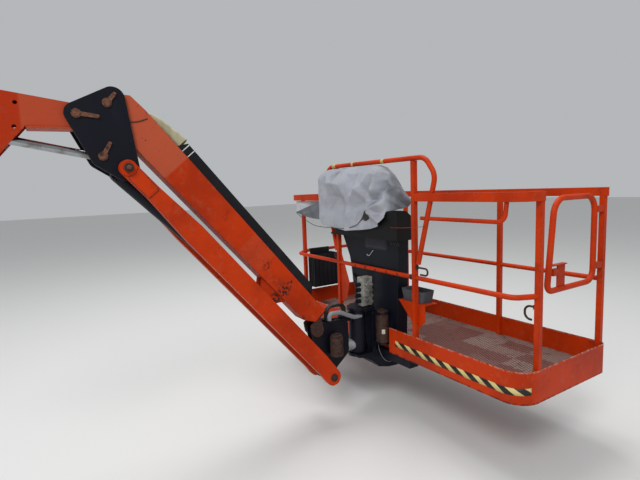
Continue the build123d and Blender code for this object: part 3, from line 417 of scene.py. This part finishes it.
def gridPiece(name, points, finish, body, closed=False, capped=False, uv=None, flipped=False, wall=0.0):
    # a rows x columns grid of points, a quad between each four neighbours; closed joins the last column to the
    # first, capped puts a face on the first and the last row, flipped turns the faces round, and wall is the
    # thickness, half of it on each side
    rows, columns = points.shape[:2]
    index = np.arange(rows * columns).reshape(rows, columns)
    nextColumn = np.roll(index, -1, axis=1)
    quads = np.stack([index[:-1], nextColumn[:-1], nextColumn[1:], index[1:]], axis=-1)
    if not closed:
        quads = quads[:, :-1]
    if flipped:
        quads = quads[..., ::-1]
    faces = quads.reshape(-1, 4).tolist()
    if capped:
        ends = [index[0][::-1], index[-1]]
        faces += [(end[::-1] if flipped else end).tolist() for end in ends]
    mesh = bpy.data.meshes.new(name)
    mesh.from_pydata(points.reshape(-1, 3).tolist(), [], faces)
    if uv is not None:
        corners = np.empty(len(mesh.loops), dtype=int)
        mesh.loops.foreach_get("vertex_index", corners)
        layer = mesh.uv_layers.new(name="cut")
        layer.data.foreach_set("uv", uv.reshape(-1, 2)[corners].ravel())
    mesh.polygons.foreach_set("use_smooth", np.ones(len(mesh.polygons), dtype=bool))
    mesh.materials.append(materials[finish])
    piece = bpy.data.objects.new(name, mesh)
    bpy.context.collection.objects.link(piece)
    if wall:
        solid = piece.modifiers.new("wall", "SOLIDIFY")
        solid.thickness, solid.offset = wall, 0.0
    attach(piece, body)
    return piece


def armPlace(along, above, side):
    # places in the upper arm's own directions, as whole arrays
    along, above, side = np.broadcast_arrays(along, above, side)
    return np.stack([armPin[0] + along * armWay[0] + above * armUp[0], side,
                     armPin[1] + along * armWay[2] + above * armUp[2]], axis=-1)


def roundedOutline(halfA, halfB, power, count):
    # |x/a|^n + |y/b|^n = 1 at points evenly spaced along it, as shares of the two half sizes, and their places
    a = np.linspace(0, 2 * math.pi, 4001)
    x, y = (np.sign(f(a)) * np.abs(f(a)) ** (2 / power) for f in (np.cos, np.sin))
    way = np.concatenate([[0], np.cumsum(np.hypot(np.diff(x * halfA), np.diff(y * halfB)))])
    even = np.linspace(0, way[-1], count, endpoint=False)
    return np.interp(even, way, x), np.interp(even, way, y), even


# Loose cover over the control box: one cloth gathered under the hoop, tucked up at its right end
coverCloth = {
    "middle": (2.698, 0.190), "half": (0.099, 0.460), "corner": 8.0, "columns": 420, "rows": 150, "wall": 1.6 * mm,
    "flat": (2.15, 0.6), "shoulder": 0.74, "drop": 0.050, "lean": 0.022, "depth": 1.45, "crest": 4 * mm,
    "ripple": 3.5 * mm, "flare": 6 * mm, "nearFace": 2.66,
    # heights along the platform, from right to left: the ridge under the hoop, and the near and the far hem
    "ridge": [(-0.27, -0.365), (-0.22, -0.300), (-0.164, -0.266), (-0.10, -0.249), (0.0, -0.245), (0.50, -0.245),
              (0.544, -0.250), (0.602, -0.272), (0.65, -0.305)],
    "hem": [(-0.262, -0.565), (-0.238, -0.567), (-0.212, -0.590), (-0.190, -0.634), (-0.146, -0.667),
            (-0.058, -0.689), (0.059, -0.703), (0.247, -0.717), (0.382, -0.706), (0.541, -0.688), (0.590, -0.668),
            (0.65, -0.635)],
    "farHem": [(-0.262, -0.530), (0.0, -0.58), (0.65, -0.60)],
    # how the near and the far side draw in towards the ridge
    "nearIn": [(0, 1), (0.3, 0.99), (0.74, 0.93), (0.84, 0.76), (0.92, 0.48), (0.98, 0.18), (1, 0.02)],
    "farIn": [(0, 0.84), (0.3, 0.88), (0.6, 0.52), (0.8, 0.36), (0.93, 0.22), (1, 0.02)],
    "endIn": [(0, 1), (0.3, 1), (0.74, 0.985), (0.86, 0.94), (0.94, 0.86), (1, 0.78)],
    # creases between flat facets of the near face: from (Y, Z) to (Y, Z), reach, height; negative is a valley
    "creases": [((0.176, -0.25), (0.182, -0.72), 0.085, 0.036), ((0.385, -0.352), (0.215, -0.372), 0.10, 0.040),
                ((0.500, -0.490), (0.385, -0.352), 0.07, 0.014), ((0.62, -0.532), (-0.05, -0.515), 0.09, -0.014),
                ((0.040, -0.400), (0.140, -0.508), 0.05, 0.013), ((0.040, -0.400), (-0.050, -0.506), 0.05, 0.013),
                ((0.100, -0.450), (-0.135, -0.282), 0.09, 0.024), ((-0.217, -0.290), (-0.182, -0.400), 0.05, -0.046),
                ((-0.182, -0.400), (-0.110, -0.490), 0.05, -0.034), ((-0.165, -0.297), (-0.118, -0.417), 0.04, 0.018),
                ((-0.118, -0.417), (-0.070, -0.506), 0.05, 0.020), ((-0.045, -0.552), (-0.190, -0.515), 0.05, 0.036),
                ((-0.070, -0.570), (-0.185, -0.640), 0.04, 0.026), ((-0.020, -0.600), (-0.060, -0.555), 0.03, -0.010),
                ((0.294, -0.240), (0.312, -0.292), 0.028, -0.030), ((0.312, -0.292), (0.353, -0.325), 0.026, -0.018),
                ((0.58, -0.30), (0.56, -0.45), 0.05, 0.012), ((0.42, -0.58), (0.46, -0.70), 0.06, 0.010),
                ((-0.02, -0.62), (0.02, -0.70), 0.06, 0.014)],
    # the same on the right end, from (X, Z) to (X, Z)
    "endCreases": [((2.590, -0.400), (2.755, -0.512), 0.07, 0.034), ((2.605, -0.440), (2.745, -0.535), 0.03, -0.022),
                   ((2.616, -0.430), (2.612, -0.560), 0.035, -0.026), ((2.640, -0.30), (2.660, -0.42), 0.05, 0.012)],
}


def creased(across, up, lines, crest):
    # each crease lifts the cloth by height * (1 - distance to its line / reach), down to nothing: a flat facet
    # on either side; the very crest is rounded over a few millimetres
    push = np.zeros_like(across)
    for (a0, b0), (a1, b1), reach, height in lines:
        part = np.clip(((across - a0) * (a1 - a0) + (up - b0) * (b1 - b0)) / ((a1 - a0) ** 2 + (b1 - b0) ** 2), 0, 1)
        gap = np.hypot(across - a0 - part * (a1 - a0), up - b0 - part * (b1 - b0))
        push += height * np.maximum(0, 1 - np.sqrt(gap ** 2 + crest ** 2) / reach)
    return push


def coverPoints(shape):
    # plan: a rounded rectangle that draws in towards the ridge line, the far side sooner than the near one;
    # height: from the hem straight up to a shoulder, then a quarter wave up to the ridge; creases and two
    # products of sine waves push out of the plan, less and less above the shoulder
    planX, planY, way = roundedOutline(*shape["half"], shape["corner"], shape["columns"])
    t = np.linspace(0, 1, shape["rows"])[:, None]
    near, far, end = (np.interp(t, *zip(*shape[key])) for key in ("nearIn", "farIn", "endIn"))
    x = shape["middle"][0] - shape["lean"] * t ** 2 + planX * shape["half"][0] * np.where(planX < 0, near, far)
    y = shape["middle"][1] + planY * shape["half"][1] * end
    share = (1 - planX) / 2 + 0 * t
    ridge = np.interp(y, *zip(*shape["ridge"]))
    hem = share * np.interp(y, *zip(*shape["hem"])) + (1 - share) * np.interp(y, *zip(*shape["farHem"]))
    low = np.clip(t / shape["shoulder"], 0, 1)
    high = np.clip((t - shape["shoulder"]) / (1 - shape["shoulder"]), 0, 1)
    shoulder = ridge - shape["drop"]
    nearZ = hem + (shoulder - hem) * low + (ridge - shoulder) * np.sin(high * math.pi / 2)
    z = share * nearZ + (1 - share) * (hem + (ridge - hem) * t)
    wave = np.sin(31 * y + 7 * z + 3 * np.sin(13 * z)) * np.sin(19 * z + 11 * y + 2 * np.sin(17 * y))
    wave = shape["ripple"] * wave + shape["flare"] * (1 - t) ** 2 * np.sin(9 * way / way[-1] * 2 * math.pi + 2.0)
    onNear = np.clip(-planX, 0, 1) ** 6
    onEnd = np.clip(-planY, 0, 1) ** 6
    pushNear, pushEnd = ((shape["depth"] * creased(across, z, shape[lines], shape["crest"]) + wave) * (1 - high ** 2)
                         for across, lines in ((y, "creases"), (x, "endCreases")))
    points = np.stack([x - pushNear * onNear, y - pushEnd * onEnd, z], axis=-1)
    return points, np.stack([way / way[-1] * shape["flat"][0] + 0 * t, t * shape["flat"][1] + 0 * way], axis=-1)


points, uv = coverPoints(coverCloth)
cover = gridPiece("coverCloth", points, "cover", "platform", closed=True, uv=uv,
                  wall=coverCloth["wall"])
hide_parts("console_cover")
nearCloth = points.reshape(-1, 3)
nearCloth = nearCloth[nearCloth[:, 0] < coverCloth["nearFace"]]    # its near face, for what lies on it


def onCloth(places, lift):
    # (Y, Z) places put on the near face of the cloth, so far in front of it
    places = np.array(places)
    nearest = np.argmin(np.hypot(places[:, :1] - nearCloth[:, 1], places[:, 1:] - nearCloth[:, 2]), axis=1)
    return np.column_stack([nearCloth[nearest, 0] - lift, places])


# Loose corner of the same cloth, folded over along its foot and pulled out to the left: each layer lies
# between a root line on the cover and a tip line, given from its top edge down to the fold
flapCloth = {"columns": 30, "rows": 70, "wall": 1.4 * mm, "sag": 0.016, "ripples": (5 * mm, 6 * mm),
             "flat": (0.16, 0.5),
             "back": {"root": ((2.700, 0.620, -0.497), (2.664, 0.612, -0.652)),
                      "tip": ((2.668, 1.112, -0.503), (2.658, 1.098, -0.606))},
             "near": {"root": ((2.628, 0.612, -0.492), (2.660, 0.612, -0.654)),
                      "tip": ((2.655, 1.094, -0.600), (2.658, 1.098, -0.607))}}


def flapPoints(shape, layer):
    # straight runs from root to tip, which sag by a half wave at the fold and ripple by a few millimetres
    v, r = np.meshgrid(np.linspace(0, 1, shape["columns"]), np.linspace(0, 1, shape["rows"]))
    ends = [np.array(line[0]) + (np.array(line[1]) - np.array(line[0])) * v[..., None]
            for line in (layer["root"], layer["tip"])]
    points = ends[0] + (ends[1] - ends[0]) * r[..., None]
    sag = np.sin(math.pi * r)
    points[..., 2] -= shape["sag"] * sag * v
    first, second = shape["ripples"]
    points[..., 0] += (first * np.sin(13 * r + 5 * v) + second * np.sin(7 * r - 9 * v)) * sag * np.sin(math.pi * v)
    return points, np.stack([v * shape["flat"][0], r * shape["flat"][1]], axis=-1)


points, uv = flapPoints(flapCloth, flapCloth["back"])
flapBack = gridPiece("coverFlapBack", points, "coverInside", "platform", uv=uv, wall=flapCloth["wall"])
# the near layer gets the darker copy of the cloth: painted shade under the fold
points, uv = flapPoints(flapCloth, flapCloth["near"])
flap = gridPiece("coverFlap", points, "coverShaded", "platform", uv=uv, wall=flapCloth["wall"])

# Turned-up bit of the hem that shows the cloth's dark back: a small patch with a rolled upper edge
turnedHem = {"corners": [(0.004, -0.576), (-0.082, -0.558), (-0.060, -0.622), (0.026, -0.632)], "size": 14,
             "wave": 6 * mm, "lift": 4 * mm, "roll": 8 * mm, "wall": 1.2 * mm}
v, r = np.meshgrid(np.linspace(0, 1, turnedHem["size"]), np.linspace(0, 1, turnedHem["size"]))
# straight between its four corners, in Y and Z, with a wave along it
shares = np.stack([(1 - r) * (1 - v), (1 - r) * v, r * v, r * (1 - v)], axis=-1)
places = shares @ np.array(turnedHem["corners"])
places[..., 1] += turnedHem["wave"] * np.sin(7 * v)
points = onCloth(places.reshape(-1, 2), turnedHem["lift"]).reshape(*places.shape[:2], 3)
points[..., 0] -= turnedHem["roll"] * (1 - r) ** 3
gridPiece("turnedHem", points, "clothBack", "platform", wall=turnedHem["wall"])


def curvePiece(name, route, radius, finish, body):
    # a smooth round cord on a NURBS line with these control points
    data = bpy.data.curves.new(name, "CURVE")
    data.dimensions = "3D"
    data.bevel_depth, data.bevel_resolution, data.resolution_u = radius, 3, 10
    data.use_fill_caps = True
    spline = data.splines.new("NURBS")
    spline.points.add(len(route) - 1)
    spline.points.foreach_set("co", np.hstack([np.array(route), np.ones((len(route), 1))]).ravel())
    spline.order_u, spline.use_endpoint_u = 3, True
    data.materials.append(materials[finish])
    piece = bpy.data.objects.new(name, data)
    bpy.context.collection.objects.link(piece)
    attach(piece, body)
    return piece


# Draw cord: it hangs from the loose corner's tip to the cover's lower corner and runs along the near hem
drawCord = {"radius": 2.4 * mm, "lift": 5 * mm,
            "free": [(2.656, 1.098, -0.608), (2.650, 1.060, -0.618), (2.642, 0.960, -0.652), (2.632, 0.840, -0.684),
                     (2.612, 0.700, -0.706)],
            "held": [(0.575, -0.706), (0.450, -0.706), (0.330, -0.706), (0.220, -0.700), (0.140, -0.688),
                     (0.080, -0.668), (0.040, -0.640), (0.015, -0.612)]}
route = np.vstack([drawCord["free"], onCloth(drawCord["held"], drawCord["lift"])])
cord = curvePiece("coverDrawCord", route, drawCord["radius"], "cordBlack", "platform")

# Woven sleeve round the hoses: flat where it leaves the arm's head, full height over the trough's mouth
sleeveCloth = {"from": 0.156, "to": 0.383, "halfWidth": (0.024, 0.0480), "height": (0.016, 0.074), "columns": 72,
               "rows": 70, "base": 0.1258, "wall": 1.4 * mm, "wrinkles": (0.035, 0.03), "slant": 0.010,
               "section": (0.045, 0.035, 3), "growth": 0.65, "flat": (0.22, 0.26)}


def sleevePoints(shape):
    # cross-section |w|^3 + |h|^3 = 1, growing along the arm, with ring wrinkles and two lengthwise dents
    wide, tall, _ = roundedOutline(*shape["section"], shape["columns"])
    roundWay = np.linspace(0, 2 * math.pi, shape["columns"], endpoint=False)
    a, s = np.meshgrid(roundWay, np.linspace(0, 1, shape["rows"]))
    grow = s ** shape["growth"]
    half = shape["halfWidth"][0] + (shape["halfWidth"][1] - shape["halfWidth"][0]) * grow
    height = (shape["height"][0] + (shape["height"][1] - shape["height"][0]) * grow) / 2
    rings, dents = shape["wrinkles"]
    wrinkle = 1 + (rings * np.sin(26 * s + 2 * np.sin(3 * a)) + dents * np.sin(11 * s + 2 * a)) * np.sin(math.pi * s)
    across = wide * half * wrinkle
    rise = np.maximum(tall * wrinkle, -1) * height
    along = shape["from"] + (shape["to"] - shape["from"]) * s + shape["slant"] * s * wide
    points = armPlace(along, shape["base"] + height + rise, across)
    return points, np.stack([a / (2 * math.pi) * shape["flat"][0], s * shape["flat"][1]], axis=-1)


points, uv = sleevePoints(sleeveCloth)
sleeve = gridPiece("hoseSleeve", points, "sleeve", "upper_arm", closed=True, uv=uv,
                   wall=sleeveCloth["wall"])
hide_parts("hose_sleeve")
print("cloth made")

# Hazard tape along the near toe board and round its corner
tapeStrip = {"from": -0.248, "corner": 0.130, "end": 1.22, "arc": 68, "columns": 120, "tall": 0.039, "wall": 0.5 * mm,
             "proud": 0.9 * mm,
             "high": [(0, 0.056), (0.2, 0.049), (0.4, 0.044), (0.65, 0.041), (0.85, 0.043), (1.0, 0.050)]}


def tapePoints(shape):
    # a strip of even height on a straight run and round most of a quarter circle at the platform's corner
    radius = shape["corner"]
    straight = shape["end"] - radius + shape["from"]
    s = np.linspace(0, straight + radius * math.radians(shape["arc"]), shape["columns"])
    bend = np.maximum(s - straight, 0) / radius
    outer = radius + shape["proud"]
    x = nearSide + radius - outer * np.cos(bend)
    y = shape["from"] - np.minimum(s, straight) - outer * np.sin(bend)
    v = np.interp(s, *zip(*shape["high"])) - np.array([[shape["tall"]], [0]])
    x, y, s = (np.broadcast_to(value, v.shape) for value in (x, y, s))
    return np.stack([x, y, deckTop + v], axis=-1), np.stack([s + tape["start"], v], axis=-1)


points, uv = tapePoints(tapeStrip)
gridPiece("hazardTape", points, "tape", "platform", uv=uv, wall=tapeStrip["wall"])


def ringPiece(name, centre, axis, radius, length, finish, body, slot, sides=32, squash=1.0):
    # a short sleeve or a hexagon head: a circle of points carried along an axis, with slightly smaller ends
    axis = np.array(axis, float) / np.linalg.norm(axis)
    one = np.cross(axis, [0.3, 0.5, 0.81])
    one /= np.linalg.norm(one)
    two = np.cross(axis, one) * squash
    a = np.linspace(0, 2 * math.pi, sides, endpoint=False)
    circle = np.cos(a)[:, None] * one + np.sin(a)[:, None] * two
    steps = np.array([[-0.5, 0.93], [-0.46, 1], [0.46, 1], [0.5, 0.93]])
    points = np.array(centre) + steps[:, 0, None, None] * length * axis + steps[:, 1, None, None] * radius * circle
    return gridPiece(name, points, finish, body, closed=True, capped=True)


def slabPiece(name, centre, u, v, half, thick, finish, body):
    # a flat rounded rectangle with a small chamfer, out from its centre along u x v
    wide, tall, _ = roundedOutline(*half, 10, 96)
    normal = np.cross(u, v)
    edge = min(1.5 * mm, thick / 2)    # the chamfer
    steps = [(0, 0), (0, thick - edge), (edge, thick), (min(half) * 0.5, thick), (min(half) * 0.98, thick)]
    rows = [np.array(centre) + h * normal + ((half[0] - inset) * wide)[:, None] * np.array(u)
            + ((half[1] - inset) * tall)[:, None] * np.array(v) for inset, h in steps]
    return gridPiece(name, np.array(rows), finish, body, closed=True, capped=True)


# Doubler plate on the near lower arm, inside the rusty seam of its weld
doubler = {"middle": 0.106, "half": (0.070, 0.0365), "thick": 5 * mm, "face": -0.1288, "seam": 2 * mm,
           "seamThick": 1.5 * mm}
middle = (linkPin[0] + doubler["middle"] * armWay[0], doubler["face"], linkPin[1] + doubler["middle"] * armWay[2])
seamHalf = (doubler["half"][0] + doubler["seam"], doubler["half"][1] + doubler["seam"])
slabPiece("doublerSeam", middle, armWay, armUp, seamHalf, doubler["seamThick"], "rust", "lower_arms")
slabPiece("armDoubler", middle, armWay, armUp, doubler["half"], doubler["thick"], "enamel", "lower_arms")

# Washer and bolt head in the middle of the link pin's boss: place in Y, radius, length, finish and sides
linkTrim = {"linkWasher": (-0.1540, 0.024, 3 * mm, "rust", 32), "linkBolt": (-0.1590, 0.012, 9 * mm, "pinRust", 6)}
for name, (y, radius, length, finish, sides) in linkTrim.items():
    ringPiece(name, (linkPin[0], y, linkPin[1]), (0, 1, 0), radius, length, finish, "knuckle", "rusty_steel", sides)

# Weld bead across the near side of the upper arm's head
headWeld = {"radius": 3 * mm, "route": [(1.0740, -0.0605, -0.0235), (1.1030, -0.0612, -0.0210),
                                        (1.1280, -0.0612, -0.0150), (1.1600, -0.0605, -0.0015)]}
curvePiece("headWeld", headWeld["route"], headWeld["radius"], "rust", "upper_arm")

# Blank label on the platform's pivot boss, facing out between the lugs
bossLabel = {"place": (2.6098, -0.1695, -1.409), "across": (0.85, -0.53, 0), "half": (0.012, 0.016),
             "thick": 1.2 * mm}
slabPiece("bossLabel", bossLabel["place"], bossLabel["across"], (0, 0, 1), bossLabel["half"], bossLabel["thick"],
          "label", "platform")

# Bolt heads in the middle rail and the dark clip beside the right middle post
railTrim = {"height": deckTop + 0.527, "x": nearSide + 0.0193, "bolts": (0.201, 0.077, -0.040, -0.161, -0.274),
            "out": 0.0155, "bolt": (7.5 * mm, 6 * mm), "clipAt": -0.405, "clip": (18.5 * mm, 20 * mm)}
for k, y in enumerate(railTrim["bolts"]):
    ringPiece("railBolt%d" % k, (railTrim["x"] - railTrim["out"], y, railTrim["height"]), (1, 0, 0),
              *railTrim["bolt"], "rust", "platform", "rusty_steel", sides=6)
ringPiece("railClip", (railTrim["x"], railTrim["clipAt"], railTrim["height"]), (0, 1, 0), *railTrim["clip"],
          "cordBlack", "platform", "black_plastic")

# Remains of cream tape round the hoop: places and lengths in Y
hoopTape = {"height": deckTop + 1.292, "x": nearSide + 0.0193, "radius": 17.2 * mm,
            "wraps": ((0.455, 0.045), (0.209, 0.020), (-0.135, 0.030))}
for k, (y, length) in enumerate(hoopTape["wraps"]):
    ringPiece("hoopTape%d" % k, (hoopTape["x"], y, hoopTape["height"]), (0, 1, 0), hoopTape["radius"], length,
              "creamTape", "platform", "grey_vinyl")

# Nylon ties round the hose trough
trough = {"half": 0.0435, "low": 0.1254, "high": 0.1848, "ties": (0.405, 0.446), "wide": 5.2 * mm, "wall": 1.2 * mm}
halfHigh = (trough["high"] - trough["low"]) / 2
wide, tall, _ = roundedOutline(trough["half"], halfHigh, 10, 96)
for k, along in enumerate(trough["ties"]):
    # a rounded rectangle carried a few millimetres along the arm
    points = armPlace(along + np.array([[-0.5], [0.5]]) * trough["wide"], trough["low"] + halfHigh * (1 + tall),
                      trough["half"] * wide)
    gridPiece("troughTie%d" % k, points, "nylon", "upper_arm", closed=True, wall=trough["wall"])

# Raised frame, plate and vents on the front of the console's pedestal
pedestal = {"x": nearSide + 0.0346, "frame": (-0.016, 0.124, -0.789, 0.052), "bead": 3.5 * mm, "low": 0.8,
            "plate": 1.2 * mm, "vents": (-0.190, -0.213, -0.236, -0.259), "ventZ": -0.786, "vent": (6.5 * mm, 3 * mm),
            "ventTall": 2.6}
middle, halfY, middleZ, halfZ = pedestal["frame"]
wide, tall, _ = roundedOutline(halfY, halfZ, 10, 120)
# a bead, flattened a little, carried round a rounded rectangle, and a thin plate inside it
a = np.linspace(0, 2 * math.pi, 10, endpoint=False)
wide, tall = wide[:, None], tall[:, None]
points = np.stack([pedestal["x"] - pedestal["bead"] * pedestal["low"] * np.cos(a) + 0 * wide,
                   middle + wide * (halfY + pedestal["bead"] * np.sin(a)),
                   middleZ + tall * (halfZ + pedestal["bead"] * np.sin(a))], axis=-1)
points = np.concatenate([points, points[:1]])
gridPiece("pedestalFrame", points, "panelPlastic", "platform", closed=True, flipped=True)
slabPiece("pedestalPlate", (pedestal["x"], middle, middleZ), (0, -1, 0), (0, 0, 1), (halfY, halfZ), pedestal["plate"],
          "panelPlastic", "platform")
for k, y in enumerate(pedestal["vents"]):
    ringPiece("pedestalVent%d" % k, (pedestal["x"] - 1 * mm, y, pedestal["ventZ"]), (1, 0, 0), *pedestal["vent"],
              "cordBlack", "platform", "black_plastic", squash=pedestal["ventTall"])
print("trim made")

# Two hoses from the control box down the pedestal's left edge to the back of the valve block
pedestalHoses = {"radius": 8 * mm, "routes": [
    [(2.704, 0.372, -0.765), (2.704, 0.366, -0.800), (2.703, 0.335, -0.880), (2.702, 0.306, -0.960),
     (2.696, 0.290, -1.030), (2.678, 0.262, -1.075), (2.650, 0.190, -1.100), (2.622, 0.110, -1.110),
     (2.596, 0.050, -1.112), (2.580, 0.012, -1.112), (2.575, -0.004, -1.112)],
    [(2.722, 0.395, -0.765), (2.722, 0.388, -0.800), (2.718, 0.356, -0.890), (2.714, 0.326, -0.980),
     (2.706, 0.300, -1.070), (2.690, 0.270, -1.135), (2.660, 0.200, -1.168), (2.628, 0.115, -1.176),
     (2.600, 0.052, -1.174), (2.580, 0.014, -1.172), (2.575, -0.004, -1.172)]]}
hoses = [curvePiece("pedestalHose%d" % k, route, pedestalHoses["radius"], "blackHose", "platform")
         for k, route in enumerate(pedestalHoses["routes"])]

# Thin red cord from under the cover to the hoop's right leg
redRun = {"radius": 1.6 * mm, "route": [(2.612, -0.262, -0.668), (2.612, -0.300, -0.669), (2.625, -0.400, -0.664),
                                        (2.640, -0.500, -0.655), (2.650, -0.565, -0.645)]}
redCord = curvePiece("redCord", redRun["route"], redRun["radius"], "cordRed", "platform")

# Thin cable that loops down beside the rotator, from the boss's lug to the side of the platform's foot
cableRun = {"radius": 2 * mm,
            "route": [(2.590, -0.118, -1.484), (2.603, -0.114, -1.505), (2.615, -0.112, -1.560),
                      (2.639, -0.112, -1.614), (2.675, -0.112, -1.657), (2.722, -0.110, -1.674),
                      (2.756, -0.100, -1.668), (2.780, -0.086, -1.655)]}
loopCable = curvePiece("loopCable", cableRun["route"], cableRun["radius"], "cableGrey", "platform")

# Cut end of a nylon tie that sticks to the pedestal's front
tieScrap = {"radius": 1.8 * mm, "route": [(2.6795, 0.087, -0.891), (2.6795, 0.070, -0.909), (2.6795, 0.043, -0.885),
                                          (2.6795, 0.013, -0.856)]}
curvePiece("tieScrap", tieScrap["route"], tieScrap["radius"], "nylon", "platform")
print("cords made")

# Stage, lamps and camera
stage = {"floor": "#DCDCDA", "floorZ": -2.0, "reach": 40.0, "sky": "#F2F5F8", "world": 0.52}

mesh = bpy.data.meshes.new("floor")
mesh.from_pydata([(stage["reach"] * x, stage["reach"] * y, stage["floorZ"])
                  for x, y in ((-1, -1), (1, -1), (1, 1), (-1, 1))], [], [(0, 1, 2, 3)])
floor = bpy.data.objects.new("floor", mesh)
bpy.context.collection.objects.link(floor)
floorMaterial, tree, coords = startMaterial("paleFloor")
finishMaterial(tree, hexColour(stage["floor"]), 0.9)
mesh.materials.append(floorMaterial)

world = bpy.data.worlds.new("studio")
bpy.context.scene.world = world
world.use_nodes = True
background = world.node_tree.nodes["Background"]
background.inputs["Color"].default_value = hexColour(stage["sky"])
background.inputs["Strength"].default_value = stage["world"]

# soft square lamps: place, what they point at, size and power
lamps = {"keyLamp": ((-2.6, -4.4, 4.8), (1.8, 0, -0.8), 3.0, 330),
         "topLamp": ((3.0, 1.5, 6.0), (2.0, 0, -1.0), 4.0, 300)}
for name, (place, target, size, power) in lamps.items():
    light = bpy.data.lights.new(name, "AREA")
    light.energy, light.size = power, size
    lamp = bpy.data.objects.new(name, light)
    lamp.location = place
    lamp.rotation_euler = (Vector(target) - Vector(place)).to_track_quat("-Z", "Y").to_euler()
    bpy.context.collection.objects.link(lamp)

# the camera fitted to the photograph
eye = {"place": (0.648, -2.523, -0.390), "right": (0.8461, -0.5317, -0.0371), "up": (0.0928, 0.0783, 0.9926),
       "forward": (0.5249, 0.8433, -0.1156), "lens": 25.08, "sensor": 36.0, "clip": 0.05}
cameraData = bpy.data.cameras.new("camera")
cameraData.lens, cameraData.sensor_width = eye["lens"], eye["sensor"]
cameraData.clip_start = eye["clip"]
camera = bpy.data.objects.new("camera", cameraData)
turn = Matrix((eye["right"], eye["up"], [-c for c in eye["forward"]])).transposed()
camera.matrix_world = Matrix.Translation(eye["place"]) @ turn.to_4x4()
bpy.context.collection.objects.link(camera)
bpy.context.scene.camera = camera
bpy.context.scene.view_settings.view_transform = "Standard"

print("stage, lamps and camera set")
